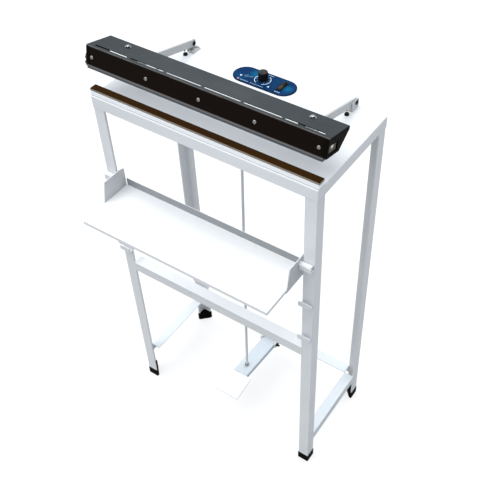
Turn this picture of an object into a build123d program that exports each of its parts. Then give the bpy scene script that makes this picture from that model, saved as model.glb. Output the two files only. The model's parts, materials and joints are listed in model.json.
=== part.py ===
from build123d import *
import math
import os

# Foot-pedal impulse heat sealer on an angle-iron stand.
# Millimetres. X is the width, Y points to the rear, Z is up.
# The model is drawn about the middle of the table. Each file is written with the origin on the floor,
# ORIGIN_FRONT ahead of that middle, under the middle of the whole machine's outline with its tray.

# ---------------------------------------------------------------- stand
ORIGIN_FRONT = 58.0
TABLE_WIDTH = 510.0
TABLE_DEPTH = 251.0
TABLE_HEIGHT = 907.0
TABLE_SHEET = 1.2
TABLE_SKIRT = 25.6
TABLE_EDGE_RADIUS = 2.4
TABLE_CORNER = 1.4
ANGLE_FLANGE = 25.4
ANGLE_THICKNESS = 3.0
ANGLE_ROOT_RADIUS = 3.0
ANGLE_TOE_RADIUS = 1.2
CROSSBAR_TOP = 453.0
RAIL_TOP = 98.0
FOOT_SIZE = 28.4
FOOT_HEIGHT = 23.0
FOOT_WALL = 1.2
FOOT_SOLE = 3.0
FOOT_TOE = 6.0
FOOT_CORNER = 0.9
FOOT_RIM = 0.6

# ---------------------------------------------------------------- tray hooks
HOOK_TOPS = (720.0, 615.0, 510.0)
HOOK_INNER_X = 225.2
HOOK_OUTER_X = 252.0
HOOK_HEIGHT = 14.0
HOOK_DEPTH = 12.0
HOOK_SHEET = 2.0
HOOK_BEND = 0.6
HOOK_CORNER = 1.5

# ---------------------------------------------------------------- tray
TRAY_HALF_WIDTH = 223.2
TRAY_FRONT = -241.0
TRAY_REAR = -105.0
TRAY_FLOOR = 683.8
TRAY_SHEET = 1.2
TRAY_HEM = 8.0
TRAY_REAR_LIP = 18.0
TRAY_LIP_INSET = 2.0
TRAY_LIP_CORNER = 2.0
TRAY_CORNER = 1.2
TRAY_RIM = 1.0
TRAY_END_SHEET = 1.6
TRAY_END_TOP = 731.0
TRAY_END_FOOT_FRONT = -177.5
TRAY_END_HEAD_FRONT = -165.0
TRAY_END_HEAD_REAR = -119.0
TRAY_END_REAR = -106.5
TRAY_END_CHAMFER = 3.5
TRAY_END_CORNER = 1.5
TRAY_END_HEAD_CORNER = 2.5
TRAY_PEG_HEIGHT = 12.2
TRAY_PEG_OUT = 250.5
TRAY_PEG_REAR_GAP = 0.8
TRAY_PEG_FRONT_GAP = 0.6
TRAY_PEG_CORNER = 0.6
TRAY_STIFFENERS = ((-133.0, -95.0), (54.0, 90.0))
TRAY_STIFFENER_DEPTH = 13.5
TRAY_STIFFENER_SHEET = 1.5
TRAY_STIFFENER_SET = 2.0
TRAY_STIFFENER_CORNER = 1.0
FIT_GAP = 0.1

# ---------------------------------------------------------------- lower sealing bar
BAR_HALF_LENGTH = 255.4
BAR_FRONT = -122.7
BAR_REAR = -106.5
BAR_HEIGHT = 10.4
STRIP_HEIGHT = 4.5
TAPE_THICKNESS = 0.6
ELEMENT_WIDTH = 5.0
ELEMENT_THICKNESS = 0.25
TERMINAL_X = 238.0
BAR_SCREW_X = (-160.0, 0.0, 160.0)
BAR_SCREW_HOLE = 8.0
BAR_SCREW_LENGTH = 9.0
BAR_CORNER = 0.5
STRIP_CORNER = 0.4
ELEMENT_TAIL = 5.0
TAPE_INSET = 0.2
TERMINAL_DROP = 12.0
TERMINAL_NUT_HEIGHT = 3.5
TERMINAL_NUT_FLATS = 8.0
TERMINAL_WASHER = 2.0
TERMINAL_WASHER_RIM = 2.0

# ---------------------------------------------------------------- upper jaw
HINGE_Y = 114.0
HINGE_Z = 920.0
JAW_TILT = 12.55
JAW_CLOSING = 9.3
JAW_HALF_LENGTH = 261.0
JAW_SHEET = 1.2
JAW_FRONT = -232.4
JAW_REAR = -163.4
JAW_TOP = 36.5
JAW_REAR_EDGE = 29.0
JAW_LIP = 29.6
JAW_BOTTOM = -1.5
JAW_SLANT = 47.2
JAW_BEND_RADIUS = 3.4
END_CAP_THICKNESS = 10.0
CAP_STEP = 0.2
CAP_WINDOW_FRONT = -229.4
CAP_WINDOW_REAR = -199.0
CAP_WINDOW_LOW = 3.7
CAP_WINDOW_HIGH = 21.4
CAP_WINDOW_CORNER = 1.2
END_BLOCK_RECESS = 2.5
END_BLOCK_FRONT = -226.2
END_BLOCK_REAR = -199.6
END_BLOCK_LOW = 4.0
END_BLOCK_HIGH = 17.5
END_BLOCK_CORNER = 0.8
END_PLATE_SET = 0.2
END_PLATE_THICKNESS = 3.0
END_PLATE_BEND = 3.2
END_PLATE_KNEE = 1.4
END_PLATE_KICK = 3.3
END_PLATE_TOE = 1.0
END_PLATE_FRONT = -230.8
SLOT_COUNT = 6
SLOT_PITCH = 83.4
SLOT_LENGTH = 78.0
SLOT_WIDTH = 4.8
SLOT_Y = -222.4
FRONT_SCREW_X = (-246.5, -118.0, 0.0, 118.0, 244.0)
FRONT_SCREW_Z = 15.0
FRONT_SCREW_HEAD = 3.7
TOP_SCREW_X = 201.0
TOP_SCREW_Y = -185.0
TOP_SCREW_HEAD = 4.4
TOP_WASHER_RADIUS = 6.0
TOP_WASHER = 0.8
TOP_SCREW_LENGTH = 6.0
PRESS_BAR_REAR = -204.0
PRESS_BAR_BOTTOM = -5.8
PRESS_BAR_TOP = 19.5
PRESS_BAR_WALL = 2.2
PRESS_BAR_END_GAP = 0.4
PRESS_LIP_LEFT = -261.5
PRESS_LIP_RIGHT = 253.0
PRESS_BAR_CHAMFER = 6.0
RUBBER_GROOVE = 2.2
RUBBER_INSET = 1.4
RUBBER_WIDTH = 14.0
RUBBER_GAP = 0.1

# ---------------------------------------------------------------- arms and their hinges
ARM_INNER_X = 187.2
ARM_THICKNESS = 4.0
ARM_DEPTH = 15.0
ARM_RISE = 1.2
ARM_END = -203.6
ARM_TAIL = 5.0
ARM_TAIL_CORNER = 1.5
HINGE_PIN_RADIUS = 3.0
HINGE_PIN_BORE = 2.2
RUNNING_GAP = 0.05
SIDE_GAP = 0.2
BRACKET_SHEET = 2.5
BRACKET_FRONT = 98.0
BRACKET_REAR = 123.0
BRACKET_TOP = 926.0
BRACKET_CORNER = 2.5
BRACKET_BASE_INNER = 177.0
BRACKET_SCREW_X = 184.0
BRACKET_SCREW_Y = (103.5, 119.5)
BUMPER_Y = 86.5
BUMPER_RADIUS = 4.7
BUMPER_HEIGHT = 4.5
STOP_SCREW_RADIUS = 1.5
STOP_SCREW_DROP = 3.0
STOP_SCREW_DEPTH = 5.0
HINGE_FLARE = 1.2
HINGE_FLARE_RIM = 1.6
BUMPER_ROUND = 2.2
BUMPER_STEM_DROP = 2.0

# ---------------------------------------------------------------- linkage
ROD_Y = -9.0
ROD_RADIUS = 3.0
PULL_ROD_HEAD_Y = 9.6
PULL_ROD_FOOT_Y = -17.3
YOKE_LUG = 11.0
YOKE_LUG_REAR = 6.4
TIE_ROD_X = 182.5
TIE_PIN_RADIUS = 2.5
TIE_SLOT_LENGTH = 11.0
TIE_SLOT_HEIGHT = 5.7
TIE_ROD_FOOT = 7.0
EYE_INNER = 3.5
EYE_GAP = 0.5
EYE_HALF = 6.0
EYE_DROP = 8.0
EYE_CORNER = 3.0
TIE_PIN_HEAD = 2.0
TIE_PIN_CLIP = 1.5
TIE_PIN_RIM = 2.0
PULL_ROD_TAIL = 16.0
YOKE_TOP = 868.0
YOKE_HEIGHT = 12.0
YOKE_DEPTH = 16.0
YOKE_END = 9.0
YOKE_CORNER = 4.0
SPRING_X = 120.0
SPRING_RADIUS = 5.2
SPRING_WIRE = 1.2
SPRING_PLUG_HEIGHT = 7.0

# ---------------------------------------------------------------- pedal
PEDAL_PIVOT_Y = 90.0
PEDAL_PIVOT_Z = 80.0
PEDAL_REST_TILT = 4.9
PEDAL_HALF_WIDTH = 20.0
PEDAL_SHEET = 2.0
PEDAL_FLANGE = 13.0
PEDAL_WEB_RISE = 6.5
PEDAL_FRONT_REACH = -140.0
PEDAL_REAR_REACH = 7.5
PEDAL_CORNER = 2.4
PEDAL_BOLT_RADIUS = 2.5
PEDAL_BOLT_TAIL = 9.0
PEDAL_NUT_FLATS = 8.5
PEDAL_NUT_HEIGHT = 4.0
ROD_HOLE_RADIUS = 4.4
ROD_NUT_GAP = 1.0
PLATE_HALF_WIDTH = 35.0
PLATE_LENGTH = 66.0
PLATE_DROP = 15.7
PLATE_SHEET = 3.0
PLATE_CORNER = 3.0
PLATE_RIM = 0.8
PLATE_GAP = 0.05

# ---------------------------------------------------------------- controls
PANEL_Y = 94.5
PANEL_LENGTH = 141.0
PANEL_WIDTH = 53.0
PANEL_THICKNESS = 1.5
PANEL_RIM = 0.5
KNOB_X = -5.2
KNOB_Y = 97.0
KNOB_RADIUS = 9.8
KNOB_TOP = 926.0
LAMP_X = -48.9
LAMP_Y = 74.0
SWITCH_X = 39.5
SWITCH_Y = 96.5
SWITCH_LENGTH = 30.0
SWITCH_WIDTH = 12.0
SWITCH_NECK = 1.2
SWITCH_WALL = 2.6
BEZEL_HEIGHT = 1.8
BEZEL_CORNER = 1.5
BEZEL_RIM = 0.7
SWITCH_DROP = 14.0
SWITCH_WELL = 8.0
ROCKER_TILT = 9.0
ROCKER_GAP = 0.3
ROCKER_END_GAP = 0.7
ROCKER_CREST = 4.4
ROCKER_VALLEY = 2.2
ROCKER_TAPER = 0.82
ROCKER_FLANK = -2.0
ROCKER_KEEL = -5.0
ROCKER_TIP_ROUND = 0.8
ROCKER_VALLEY_ROUND = 6.0
ROCKER_PIN_RADIUS = 1.0
ROCKER_PIN_REACH = 1.0
BOX_HALF_WIDTH = 80.0
BOX_FRONT = 18.0
BOX_REAR = 119.0
BOX_DEPTH = 62.0
BOX_SHEET = 1.2

# ---------------------------------------------------------------- fasteners and holes
ROD_BUSH_RADIUS = 6.0
ROD_BUSH_DROP = 8.0
ROD_BUSH_FLANGE = 2.0
ROD_BUSH_RIM = 2.5
TERMINAL_RADIUS = 2.0
TERMINAL_SLEEVE_RADIUS = 4.0
BUMPER_STEM_RADIUS = 1.8
BASE_SCREW_RADIUS = 2.0
BASE_SCREW_HEAD = 3.0
BASE_SCREW_HEAD_HEIGHT = 2.0
BASE_SCREW_LENGTH = 7.0
COVER_SCREW_RADIUS = 2.0
COVER_SCREW_LENGTH = 8.0
COVER_SCREW_HEAD_HEIGHT = 2.4
COVER_SCREW_TAPPING = 9.0
SCREW_DOME = 0.55
SCREW_SLOT_DEPTH = 0.45
SCREW_SLOT_HALF = 0.45
SCREW_SLOT_TURN = 25.0
TIMER_BUSH_RADIUS = 4.0
LAMP_RADIUS = 2.5
LAMP_DROP = 4.0
LAMP_RISE = 1.4
LAMP_ROUND = 1.2
JAW_BRACKET_BOLT_X = 178.0
JAW_BRACKET_BOLT_Z = 8.0
END_SCREW_Y = -223.5
END_SCREW_Z = 8.0
END_SCREW_RADIUS = 1.6
END_SCREW_HEAD = 4.3
END_SCREW_HEIGHT = 5.2
END_SCREW_ROUND = 1.0
END_SCREW_SOCKET = 1.8
END_SCREW_SOCKET_FLOOR = 1.2
ARM_BOLT_Y = (-198.0, -184.0)
NUT_FLATS = 10.0
NUT_HEIGHT = 5.0
SPRING_TURNS = 11
ROD_HOLE_SHIFT = 0.45
START_SWITCH_X = (60.0, 88.0)
PLUNGER_RADIUS = 1.5
PLUNGER_LENGTH = 10.0
PLUNGER_ROUND = 0.6
PLUNGER_BORE = 8.0
START_SWITCH_HALF = 5.0
START_SWITCH_RISE = 4.0
START_SWITCH_HEIGHT = 16.0
START_SWITCH_CORNER = 1.0
SWITCH_BRACKET_SHEET = 1.5
SWITCH_BRACKET_RISE = 5.0
SWITCH_BRACKET_FLANGE = 12.0
JAW_BRACKET_DEPTH = 26.0
JAW_BRACKET_LOW = -4.0
JAW_BRACKET_HIGH = 14.0
JAW_SHELF_SET = 12.0
JAW_SHELF = 3.0
JAW_SHELF_MARGIN = 6.0
JAW_BRACKET_FOOT = 20.0
JAW_BOLT_HEAD = 2.8
JAW_BOLT_FLATS = 7.0
JAW_BOLT_TAIL = 3.0
KNOB_RIBS = 24
KNOB_RIB_START = 2.0
KNOB_BORE = 3.0
KNOB_GAP = 0.6
KNOB_ROUND = 1.4
KNOB_RIB_SET = 0.5
KNOB_RIB_RADIUS = 0.9
KNOB_HOLLOW_TOP = 4.5
KNOB_HOLLOW_RADIUS = 7.2
KNOB_ROOF = 4.0
POINTER_HALF = 0.5
POINTER_FRONT = 1.0
POINTER_REAR = 2.0
POINTER_ROOT = 0.6
POINTER_RISE = 0.3
TIMER_SHELL_RADIUS = 12.0
TIMER_SHELL_HEIGHT = 12.0
TIMER_BUSH_TOP = 3.5
TIMER_NUT_HEIGHT = 2.0
TIMER_NUT_FLATS = 11.0
TIMER_SHAFT_STOP = 5.0
BOX_FLANGE = 12.0
BOX_FLANGE_INSET = 4.0
BOX_CORNER = 2.0
BOX_SCREW_Y = (36.0, 100.0)
INLET_X = 45.0
INLET_WIDTH = 27.0
INLET_HEIGHT = 20.0
INLET_LOW = 852.0
INLET_DEPTH = 16.0
INLET_BLADE_PITCH = 7.0
INLET_FLOOR = 3.0
INLET_FRAME = 2.0
INLET_BLADE_HALF = 1.0
INLET_BLADE_ROOT = 0.5
INLET_BLADE_LOW = 8.0
INLET_BLADE_HIGH = 12.0
TRANSFORMER_X = (-68.0, -8.0)
TRANSFORMER_Y = (38.0, 72.0)
TRANSFORMER_HEIGHT = 44.0
COIL_BULGE = 7.0
COIL_CORNER = 3.0
BOARD_X = (6.0, 70.0)
BOARD_Y = (24.0, 74.0)
BOARD_LOW = 852.0
BOARD_THICKNESS = 1.6
BOARD_PIN_RADIUS = 1.5
BOARD_PIN_INSET = 3.5
BOARD_PIN_HEIGHT = 3.6
RELAY_PLACE = (8.0, 8.0)
RELAY_SIZE = (16.0, 20.0, 15.0)
CAPACITOR_PLACE = (36.0, 16.0)
CAPACITOR_RADIUS = 6.0
CAPACITOR_HEIGHT = 18.0
EAR_THICKNESS = 2.5
LEAD_RADIUS = 1.4
LEAD_DROP = 9.0
LEAD_SAG = 5.0
LEAD_END_GAP = 1.6
EAR_HALF_HEIGHT = 7.5
EAR_REACH = 9.0
EAR_CORNER = 5.0

# ---------------------------------------------------------------- derived
LEG_X = TABLE_WIDTH / 2 - TABLE_SHEET
LEG_Y = TABLE_DEPTH / 2 - TABLE_SHEET
TABLE_UNDER = TABLE_HEIGHT - TABLE_SHEET
INNER_X = LEG_X - ANGLE_FLANGE
INNER_Y = LEG_Y - ANGLE_FLANGE
STRIP_TOP = TABLE_HEIGHT + BAR_HEIGHT + STRIP_HEIGHT
TAPE_TOP = STRIP_TOP + TAPE_THICKNESS
BAR_MIDDLE = (BAR_FRONT + BAR_REAR) / 2
ARM_OUTER_X = ARM_INNER_X + ARM_THICKNESS
CAP_INNER_X = JAW_HALF_LENGTH - END_CAP_THICKNESS
ARM_ANGLE = JAW_TILT + ARM_RISE
TIE_REACH = HINGE_Y - ROD_Y
TIE_PIN_Z = HINGE_Z + TIE_REACH * math.tan(math.radians(ARM_ANGLE))
PANEL_TOP = TABLE_HEIGHT + PANEL_THICKNESS
BOX_BOTTOM = TABLE_UNDER - BOX_DEPTH
HOOK_FLOOR = HOOK_TOPS[0] - HOOK_HEIGHT + HOOK_SHEET
SPRING_PLUG_RADIUS = SPRING_RADIUS - SPRING_WIRE / 2 - 0.1
SPRING_TOP = TABLE_UNDER - 1.0
SPRING_BOTTOM = YOKE_TOP + 0.8
YOKE_LUG_HALF = YOKE_HEIGHT / 2 - 1
PRESS_BAR_END = CAP_INNER_X - PRESS_BAR_END_GAP
END_PLATE_FACE = -JAW_HALF_LENGTH - END_PLATE_SET - END_PLATE_THICKNESS
BUMPER_X = (ARM_INNER_X + ARM_OUTER_X) / 2
BRACKET_INNER_X = ARM_OUTER_X + SIDE_GAP
BRACKET_OUTER_X = BRACKET_INNER_X + BRACKET_SHEET
BOX_SCREW_X = BOX_HALF_WIDTH + BOX_FLANGE / 2
RUBBER_FRONT = JAW_FRONT + JAW_SHEET + RUBBER_INSET
RUBBER_SEAT = PRESS_BAR_BOTTOM + RUBBER_GROOVE


# ---------------------------------------------------------------- shape helpers
def block(x0, x1, y0, y1, z0, z1):
    """A box between two opposite corners."""
    middle = Pos((x0 + x1) / 2, (y0 + y1) / 2, (z0 + z1) / 2)
    return middle * Box(x1 - x0, y1 - y0, z1 - z0)


def pin_x(x0, x1, y, z, radius):
    """A cylinder lying along X."""
    return Pos((x0 + x1) / 2, y, z) * Rot(0, 90, 0) * Cylinder(radius, x1 - x0)


def pin_y(x, y0, y1, z, radius):
    """A cylinder lying along Y."""
    return Pos(x, (y0 + y1) / 2, z) * Rot(90, 0, 0) * Cylinder(radius, y1 - y0)


def pin_z(x, y, z0, z1, radius):
    """An upright cylinder."""
    return Pos(x, y, (z0 + z1) / 2) * Cylinder(radius, z1 - z0)


def prism_x(outline, x0, x1):
    """An outline of (y, z) points, drawn out along X."""
    return extrude(Plane.YZ.offset(x0) * outline, x1 - x0)


def prism_y(outline, y0, y1):
    """An outline of (x, z) points, drawn out along Y."""
    return extrude(Plane.XZ.offset(-y1) * outline, y1 - y0)


def prism_z(outline, z0, z1):
    """An outline of (x, y) points, drawn out upwards."""
    return extrude(Plane.XY.offset(z0) * outline, z1 - z0)


def polygon(*points):
    """A flat face inside straight edges."""
    return make_face(Polyline(*points, close=True))


def corner_at(face, x, y):
    """The vertex of a flat face nearest to a point."""
    return min(face.vertices(), key=lambda v: math.hypot(v.X - x, v.Y - y))


def hex_z(x, y, z0, z1, across_flats):
    """An upright hexagonal prism."""
    outline = Pos(x, y) * RegularPolygon(across_flats / 2, 6, major_radius=False)
    return prism_z(outline, z0, z1)


def mirrored(shape):
    """A shape together with its left-hand twin."""
    return Compound(children=[*shape.solids(), *mirror(shape, Plane.YZ).solids()])


def group(*shapes):
    """Several separate solids in one node."""
    return Compound(children=[solid for shape in shapes for solid in shape.solids()])


def pan_screw_z(x, y, seat, length, radius, head_radius, head_height, up=1):
    """A pan-head screw with a straight slot. Its head stands on the seat, its shank goes the other way."""
    low, high = sorted((seat, seat + up * head_height))
    head = pin_z(x, y, low, high, head_radius)
    rim = head.edges().filter_by(GeomType.CIRCLE).sort_by(Axis.Z)
    head = fillet(rim[-1] if up > 0 else rim[0], head_height * SCREW_DOME)
    crown = seat + up * head_height
    low, high = sorted((crown - up * head_height * SCREW_SLOT_DEPTH, crown + up))
    head -= block(x - head_radius, x + head_radius, y - SCREW_SLOT_HALF, y + SCREW_SLOT_HALF, low, high)
    low, high = sorted((seat, seat - up * length))
    return head + pin_z(x, y, low, high, radius)


# ---------------------------------------------------------------- stand
def angle_outline(sign_x, sign_y):
    """The L section of the angle iron, its outer corner at the origin."""
    f = ANGLE_FLANGE
    t = ANGLE_THICKNESS
    face = polygon((0, 0), (f, 0), (f, t), (t, t), (t, f), (0, f))
    face = fillet(corner_at(face, t, t), ANGLE_ROOT_RADIUS)
    face = fillet([corner_at(face, f, t), corner_at(face, t, f)], ANGLE_TOE_RADIUS)
    if sign_x < 0:
        face = mirror(face, Plane.YZ)
    if sign_y < 0:
        face = mirror(face, Plane.XZ)
    return face


def leg(side, end):
    """One upright. Side is -1 left or 1 right, end is -1 front or 1 rear."""
    outline = Pos(side * LEG_X, end * LEG_Y) * angle_outline(-side, -end)
    return prism_z(outline, FOOT_SOLE, TABLE_UNDER)


def legs(end):
    """Both uprights at the front (-1) or at the rear (1)."""
    return group(leg(-1, end), leg(1, end))


def foot_cap(side, end):
    """A moulded three-cornered cap that closes the foot of one leg."""
    s = FOOT_SIZE
    t = FOOT_TOE
    outline = polygon((0, 0), (s, 0), (s, t), (t, s), (0, s))
    body = extrude(outline, FOOT_HEIGHT)
    body = fillet(body.edges().filter_by(Axis.Z), FOOT_CORNER)
    body = fillet(body.faces().sort_by(Axis.Z)[-1].edges(), FOOT_RIM)
    if side > 0:
        body = mirror(body, Plane.YZ)
    if end > 0:
        body = mirror(body, Plane.XZ)
    corner = Pos(side * (LEG_X + FOOT_WALL), end * (LEG_Y + FOOT_WALL), 0)
    return corner * body - leg(side, end)


def foot_caps():
    return group(*[foot_cap(side, end) for side in (-1, 1) for end in (-1, 1)])


def front_crossbar():
    """The cross tie between the front legs, its flat side up."""
    outline = Pos(-LEG_Y, CROSSBAR_TOP) * angle_outline(1, -1)
    return prism_x(outline, -INNER_X, INNER_X)


def rear_rail():
    """The low rail between the rear legs, which carries the pedal."""
    outline = Pos(LEG_Y, RAIL_TOP) * angle_outline(-1, -1)
    return prism_x(outline, -INNER_X, INNER_X)


def side_rail(side):
    """The low rail between the front and the rear leg of one side."""
    outline = Pos(side * LEG_X, RAIL_TOP) * angle_outline(-side, -1)
    return prism_y(outline, -INNER_Y, INNER_Y)


def side_rails():
    return group(side_rail(-1), side_rail(1))


def table_top():
    """The folded sheet table with its skirt, its holes, and the two welded plugs that hold the springs."""
    w = TABLE_WIDTH / 2
    d = TABLE_DEPTH / 2
    body = block(-w, w, -d, d, TABLE_HEIGHT - TABLE_SKIRT, TABLE_HEIGHT)
    body = fillet(body.edges().filter_by(Axis.Z), TABLE_CORNER)
    body = fillet(body.faces().sort_by(Axis.Z)[-1].edges(), TABLE_EDGE_RADIUS)
    body -= block(-LEG_X, LEG_X, -LEG_Y, LEG_Y, TABLE_HEIGHT - TABLE_SKIRT - 1, TABLE_UNDER)
    low = TABLE_UNDER - 1
    high = TABLE_HEIGHT + 1
    for side in (-1, 1):
        body -= pin_z(side * TIE_ROD_X, ROD_Y, low, high, ROD_BUSH_RADIUS)
        body -= pin_z(side * TERMINAL_X, BAR_MIDDLE, low, high, TERMINAL_SLEEVE_RADIUS)
        body -= pin_z(side * BUMPER_X, BUMPER_Y, low, high, BUMPER_STEM_RADIUS)
        for y in BRACKET_SCREW_Y:
            body -= pin_z(side * BRACKET_SCREW_X, y, low, high, BASE_SCREW_RADIUS)
    for x in BAR_SCREW_X:
        body -= pin_z(x, BAR_MIDDLE, low, high, BASE_SCREW_RADIUS)
    body -= control_openings(low, high)
    for x in (-SPRING_X, SPRING_X):
        body += pin_z(x, ROD_Y, TABLE_UNDER - SPRING_PLUG_HEIGHT, TABLE_UNDER, SPRING_PLUG_RADIUS)
    return body


def control_openings(low, high):
    """The holes that the control plate and the table share."""
    holes = pin_z(KNOB_X, KNOB_Y, low, high, TIMER_BUSH_RADIUS)
    holes += pin_z(LAMP_X, LAMP_Y, low, high, LAMP_RADIUS)
    return holes + switch_block(SWITCH_NECK, low, high)


# ---------------------------------------------------------------- hooks and tray
def hook(side, top):
    """One height hook, folded from strip and welded to the front of a leg."""
    face = -LEG_Y
    t = HOOK_SHEET
    floor = top - HOOK_HEIGHT
    outline = polygon(
        (face, floor),
        (face - HOOK_DEPTH, floor),
        (face - HOOK_DEPTH, top),
        (face - HOOK_DEPTH + t, top),
        (face - HOOK_DEPTH + t, floor + t),
        (face, floor + t),
    )
    outline = fillet(corner_at(outline, face - HOOK_DEPTH, floor), t + HOOK_BEND)
    outline = fillet(corner_at(outline, face - HOOK_DEPTH + t, floor + t), HOOK_BEND)
    low, high = sorted((side * HOOK_INNER_X, side * HOOK_OUTER_X))
    body = prism_x(outline, low, high)
    return fillet(body.edges().filter_by(Axis.Y).group_by(Axis.Z)[-1], HOOK_CORNER)


def hook_brackets():
    return group(*[hook(side, top) for side in (-1, 1) for top in HOOK_TOPS])


def tray_pan():
    """The tray floor with hems at its front and sides and an upright lip at its rear."""
    w = TRAY_HALF_WIDTH
    t = TRAY_SHEET
    body = block(-w, w, TRAY_FRONT, TRAY_REAR, TRAY_FLOOR - TRAY_HEM, TRAY_FLOOR)
    front_edges = body.edges().filter_by(Axis.Z).group_by(Axis.Y)[0]
    body = fillet(front_edges, TRAY_CORNER)
    rim = body.faces().sort_by(Axis.Z)[-1].edges().sort_by(Axis.Y)[:-1]
    body = fillet(rim, TRAY_RIM)
    body -= block(-w + t, w - t, TRAY_FRONT + t, TRAY_REAR + 1, TRAY_FLOOR - TRAY_HEM - 1, TRAY_FLOOR - t)
    lip_top = TRAY_FLOOR + TRAY_REAR_LIP
    lip = block(-w + TRAY_LIP_INSET, w - TRAY_LIP_INSET, TRAY_REAR - t, TRAY_REAR, TRAY_FLOOR - t, lip_top)
    lip = fillet(lip.edges().filter_by(Axis.Y).group_by(Axis.Z)[-1], TRAY_LIP_CORNER)
    return body + lip


def tray_ends():
    """The end plates, each with its front edge raked back and the peg that hangs in a hook."""
    low = TRAY_FLOOR - TRAY_HEM
    shoulder = TRAY_END_TOP - TRAY_END_CHAMFER
    outline = polygon(
        (TRAY_END_FOOT_FRONT, low),
        (TRAY_END_HEAD_FRONT, TRAY_END_TOP),
        (TRAY_END_HEAD_REAR, TRAY_END_TOP),
        (TRAY_END_REAR, shoulder),
        (TRAY_END_REAR, low),
    )
    outline = fillet(corner_at(outline, TRAY_END_HEAD_FRONT, TRAY_END_TOP), TRAY_END_CORNER)
    outline = fillet(corner_at(outline, TRAY_END_HEAD_REAR, TRAY_END_TOP), TRAY_END_HEAD_CORNER)
    outline = fillet(corner_at(outline, TRAY_END_REAR, shoulder), TRAY_END_CORNER)
    inner = TRAY_HALF_WIDTH
    outer = inner + TRAY_END_SHEET
    plate = prism_x(outline, inner, outer)
    slot_rear = -LEG_Y - TRAY_PEG_REAR_GAP
    slot_front = -LEG_Y - HOOK_DEPTH + HOOK_SHEET + TRAY_PEG_FRONT_GAP
    floor = HOOK_FLOOR + FIT_GAP
    peg = block(outer, TRAY_PEG_OUT, slot_front, slot_rear, floor, floor + TRAY_PEG_HEIGHT)
    peg = fillet(peg.edges().filter_by(Axis.X), TRAY_PEG_CORNER)
    return mirrored(plate + peg)


def tray_stiffener(x0, x1):
    """A flat channel under the tray pan, closed at its front."""
    t = TRAY_STIFFENER_SHEET
    top = TRAY_FLOOR - TRAY_SHEET
    low = top - TRAY_STIFFENER_DEPTH
    front = TRAY_FRONT + TRAY_SHEET
    rear = TRAY_REAR - TRAY_STIFFENER_SET
    body = block(x0, x1, front, rear, low, top)
    body = fillet(body.edges().filter_by(Axis.Y).group_by(Axis.Z)[0], TRAY_STIFFENER_CORNER)
    return body - block(x0 + t, x1 - t, front + t, rear + 1, low + t, top)


def tray_stiffeners():
    return group(*[tray_stiffener(x0, x1) for x0, x1 in TRAY_STIFFENERS])


# ---------------------------------------------------------------- lower sealing bar
def lower_bar():
    """The painted bar along the front of the table."""
    length = BAR_HALF_LENGTH
    body = block(-length, length, BAR_FRONT, BAR_REAR, TABLE_HEIGHT, TABLE_HEIGHT + BAR_HEIGHT)
    body = fillet(body.edges().filter_by(Axis.X).group_by(Axis.Z)[-1], BAR_CORNER)
    for side in (-1, 1):
        body -= pin_z(side * TERMINAL_X, BAR_MIDDLE, TABLE_HEIGHT - 1, STRIP_TOP, TERMINAL_SLEEVE_RADIUS)
    for x in BAR_SCREW_X:
        body -= pin_z(x, BAR_MIDDLE, TABLE_HEIGHT - 1, TABLE_HEIGHT + BAR_SCREW_HOLE, BASE_SCREW_RADIUS)
    return body


def insulation_strip():
    """The phenolic strip that keeps the element off the bar, with a bed for it."""
    low = TABLE_HEIGHT + BAR_HEIGHT
    body = block(-BAR_HALF_LENGTH, BAR_HALF_LENGTH, BAR_FRONT, BAR_REAR, low, STRIP_TOP)
    body = fillet(body.edges().filter_by(Axis.X), STRIP_CORNER)
    for side in (-1, 1):
        body -= pin_z(side * TERMINAL_X, BAR_MIDDLE, low - 1, STRIP_TOP + 1, TERMINAL_RADIUS)
    return body - element_bed()


def element_bed():
    half = ELEMENT_WIDTH / 2
    length = TERMINAL_X + ELEMENT_TAIL
    middle = BAR_MIDDLE
    return block(-length, length, middle - half, middle + half, STRIP_TOP - ELEMENT_THICKNESS, STRIP_TOP)


def heating_element():
    """The flat resistance strip, flush in its bed and pinned to the two terminals."""
    body = element_bed()
    for side in (-1, 1):
        body -= pin_z(side * TERMINAL_X, BAR_MIDDLE, STRIP_TOP - 1, STRIP_TOP + 1, TERMINAL_RADIUS)
    return body


def release_tape():
    """The woven release tape over the element."""
    length = BAR_HALF_LENGTH
    return block(-length, length, BAR_FRONT + TAPE_INSET, BAR_REAR - TAPE_INSET, STRIP_TOP, TAPE_TOP)


def element_terminals():
    """Brass studs from the element ends down through bar and table, each with a nut."""
    low = TABLE_UNDER - TERMINAL_DROP
    seat = TABLE_UNDER - TERMINAL_WASHER
    stud = pin_z(TERMINAL_X, BAR_MIDDLE, low, STRIP_TOP, TERMINAL_RADIUS)
    nut = hex_z(TERMINAL_X, BAR_MIDDLE, seat - TERMINAL_NUT_HEIGHT, seat, TERMINAL_NUT_FLATS)
    return mirrored(stud + nut)


def terminal_sleeves():
    """Insulating sleeves round the terminals, with a washer under the table."""
    middle = BAR_MIDDLE
    sleeve = pin_z(TERMINAL_X, middle, TABLE_UNDER, TABLE_HEIGHT + BAR_HEIGHT, TERMINAL_SLEEVE_RADIUS)
    rim = TERMINAL_SLEEVE_RADIUS + TERMINAL_WASHER_RIM
    washer = pin_z(TERMINAL_X, middle, TABLE_UNDER - TERMINAL_WASHER, TABLE_UNDER, rim)
    bore = pin_z(TERMINAL_X, middle, TABLE_UNDER - 3, STRIP_TOP, TERMINAL_RADIUS)
    return mirrored(sleeve + washer - bore)


# ---------------------------------------------------------------- upper jaw, drawn level and then opened
def opened(shape):
    """Turns a piece drawn level about the hinge axis to the open position of the jaw."""
    return Pos(0, HINGE_Y, HINGE_Z) * Rot(-JAW_TILT, 0, 0) * shape


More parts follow.
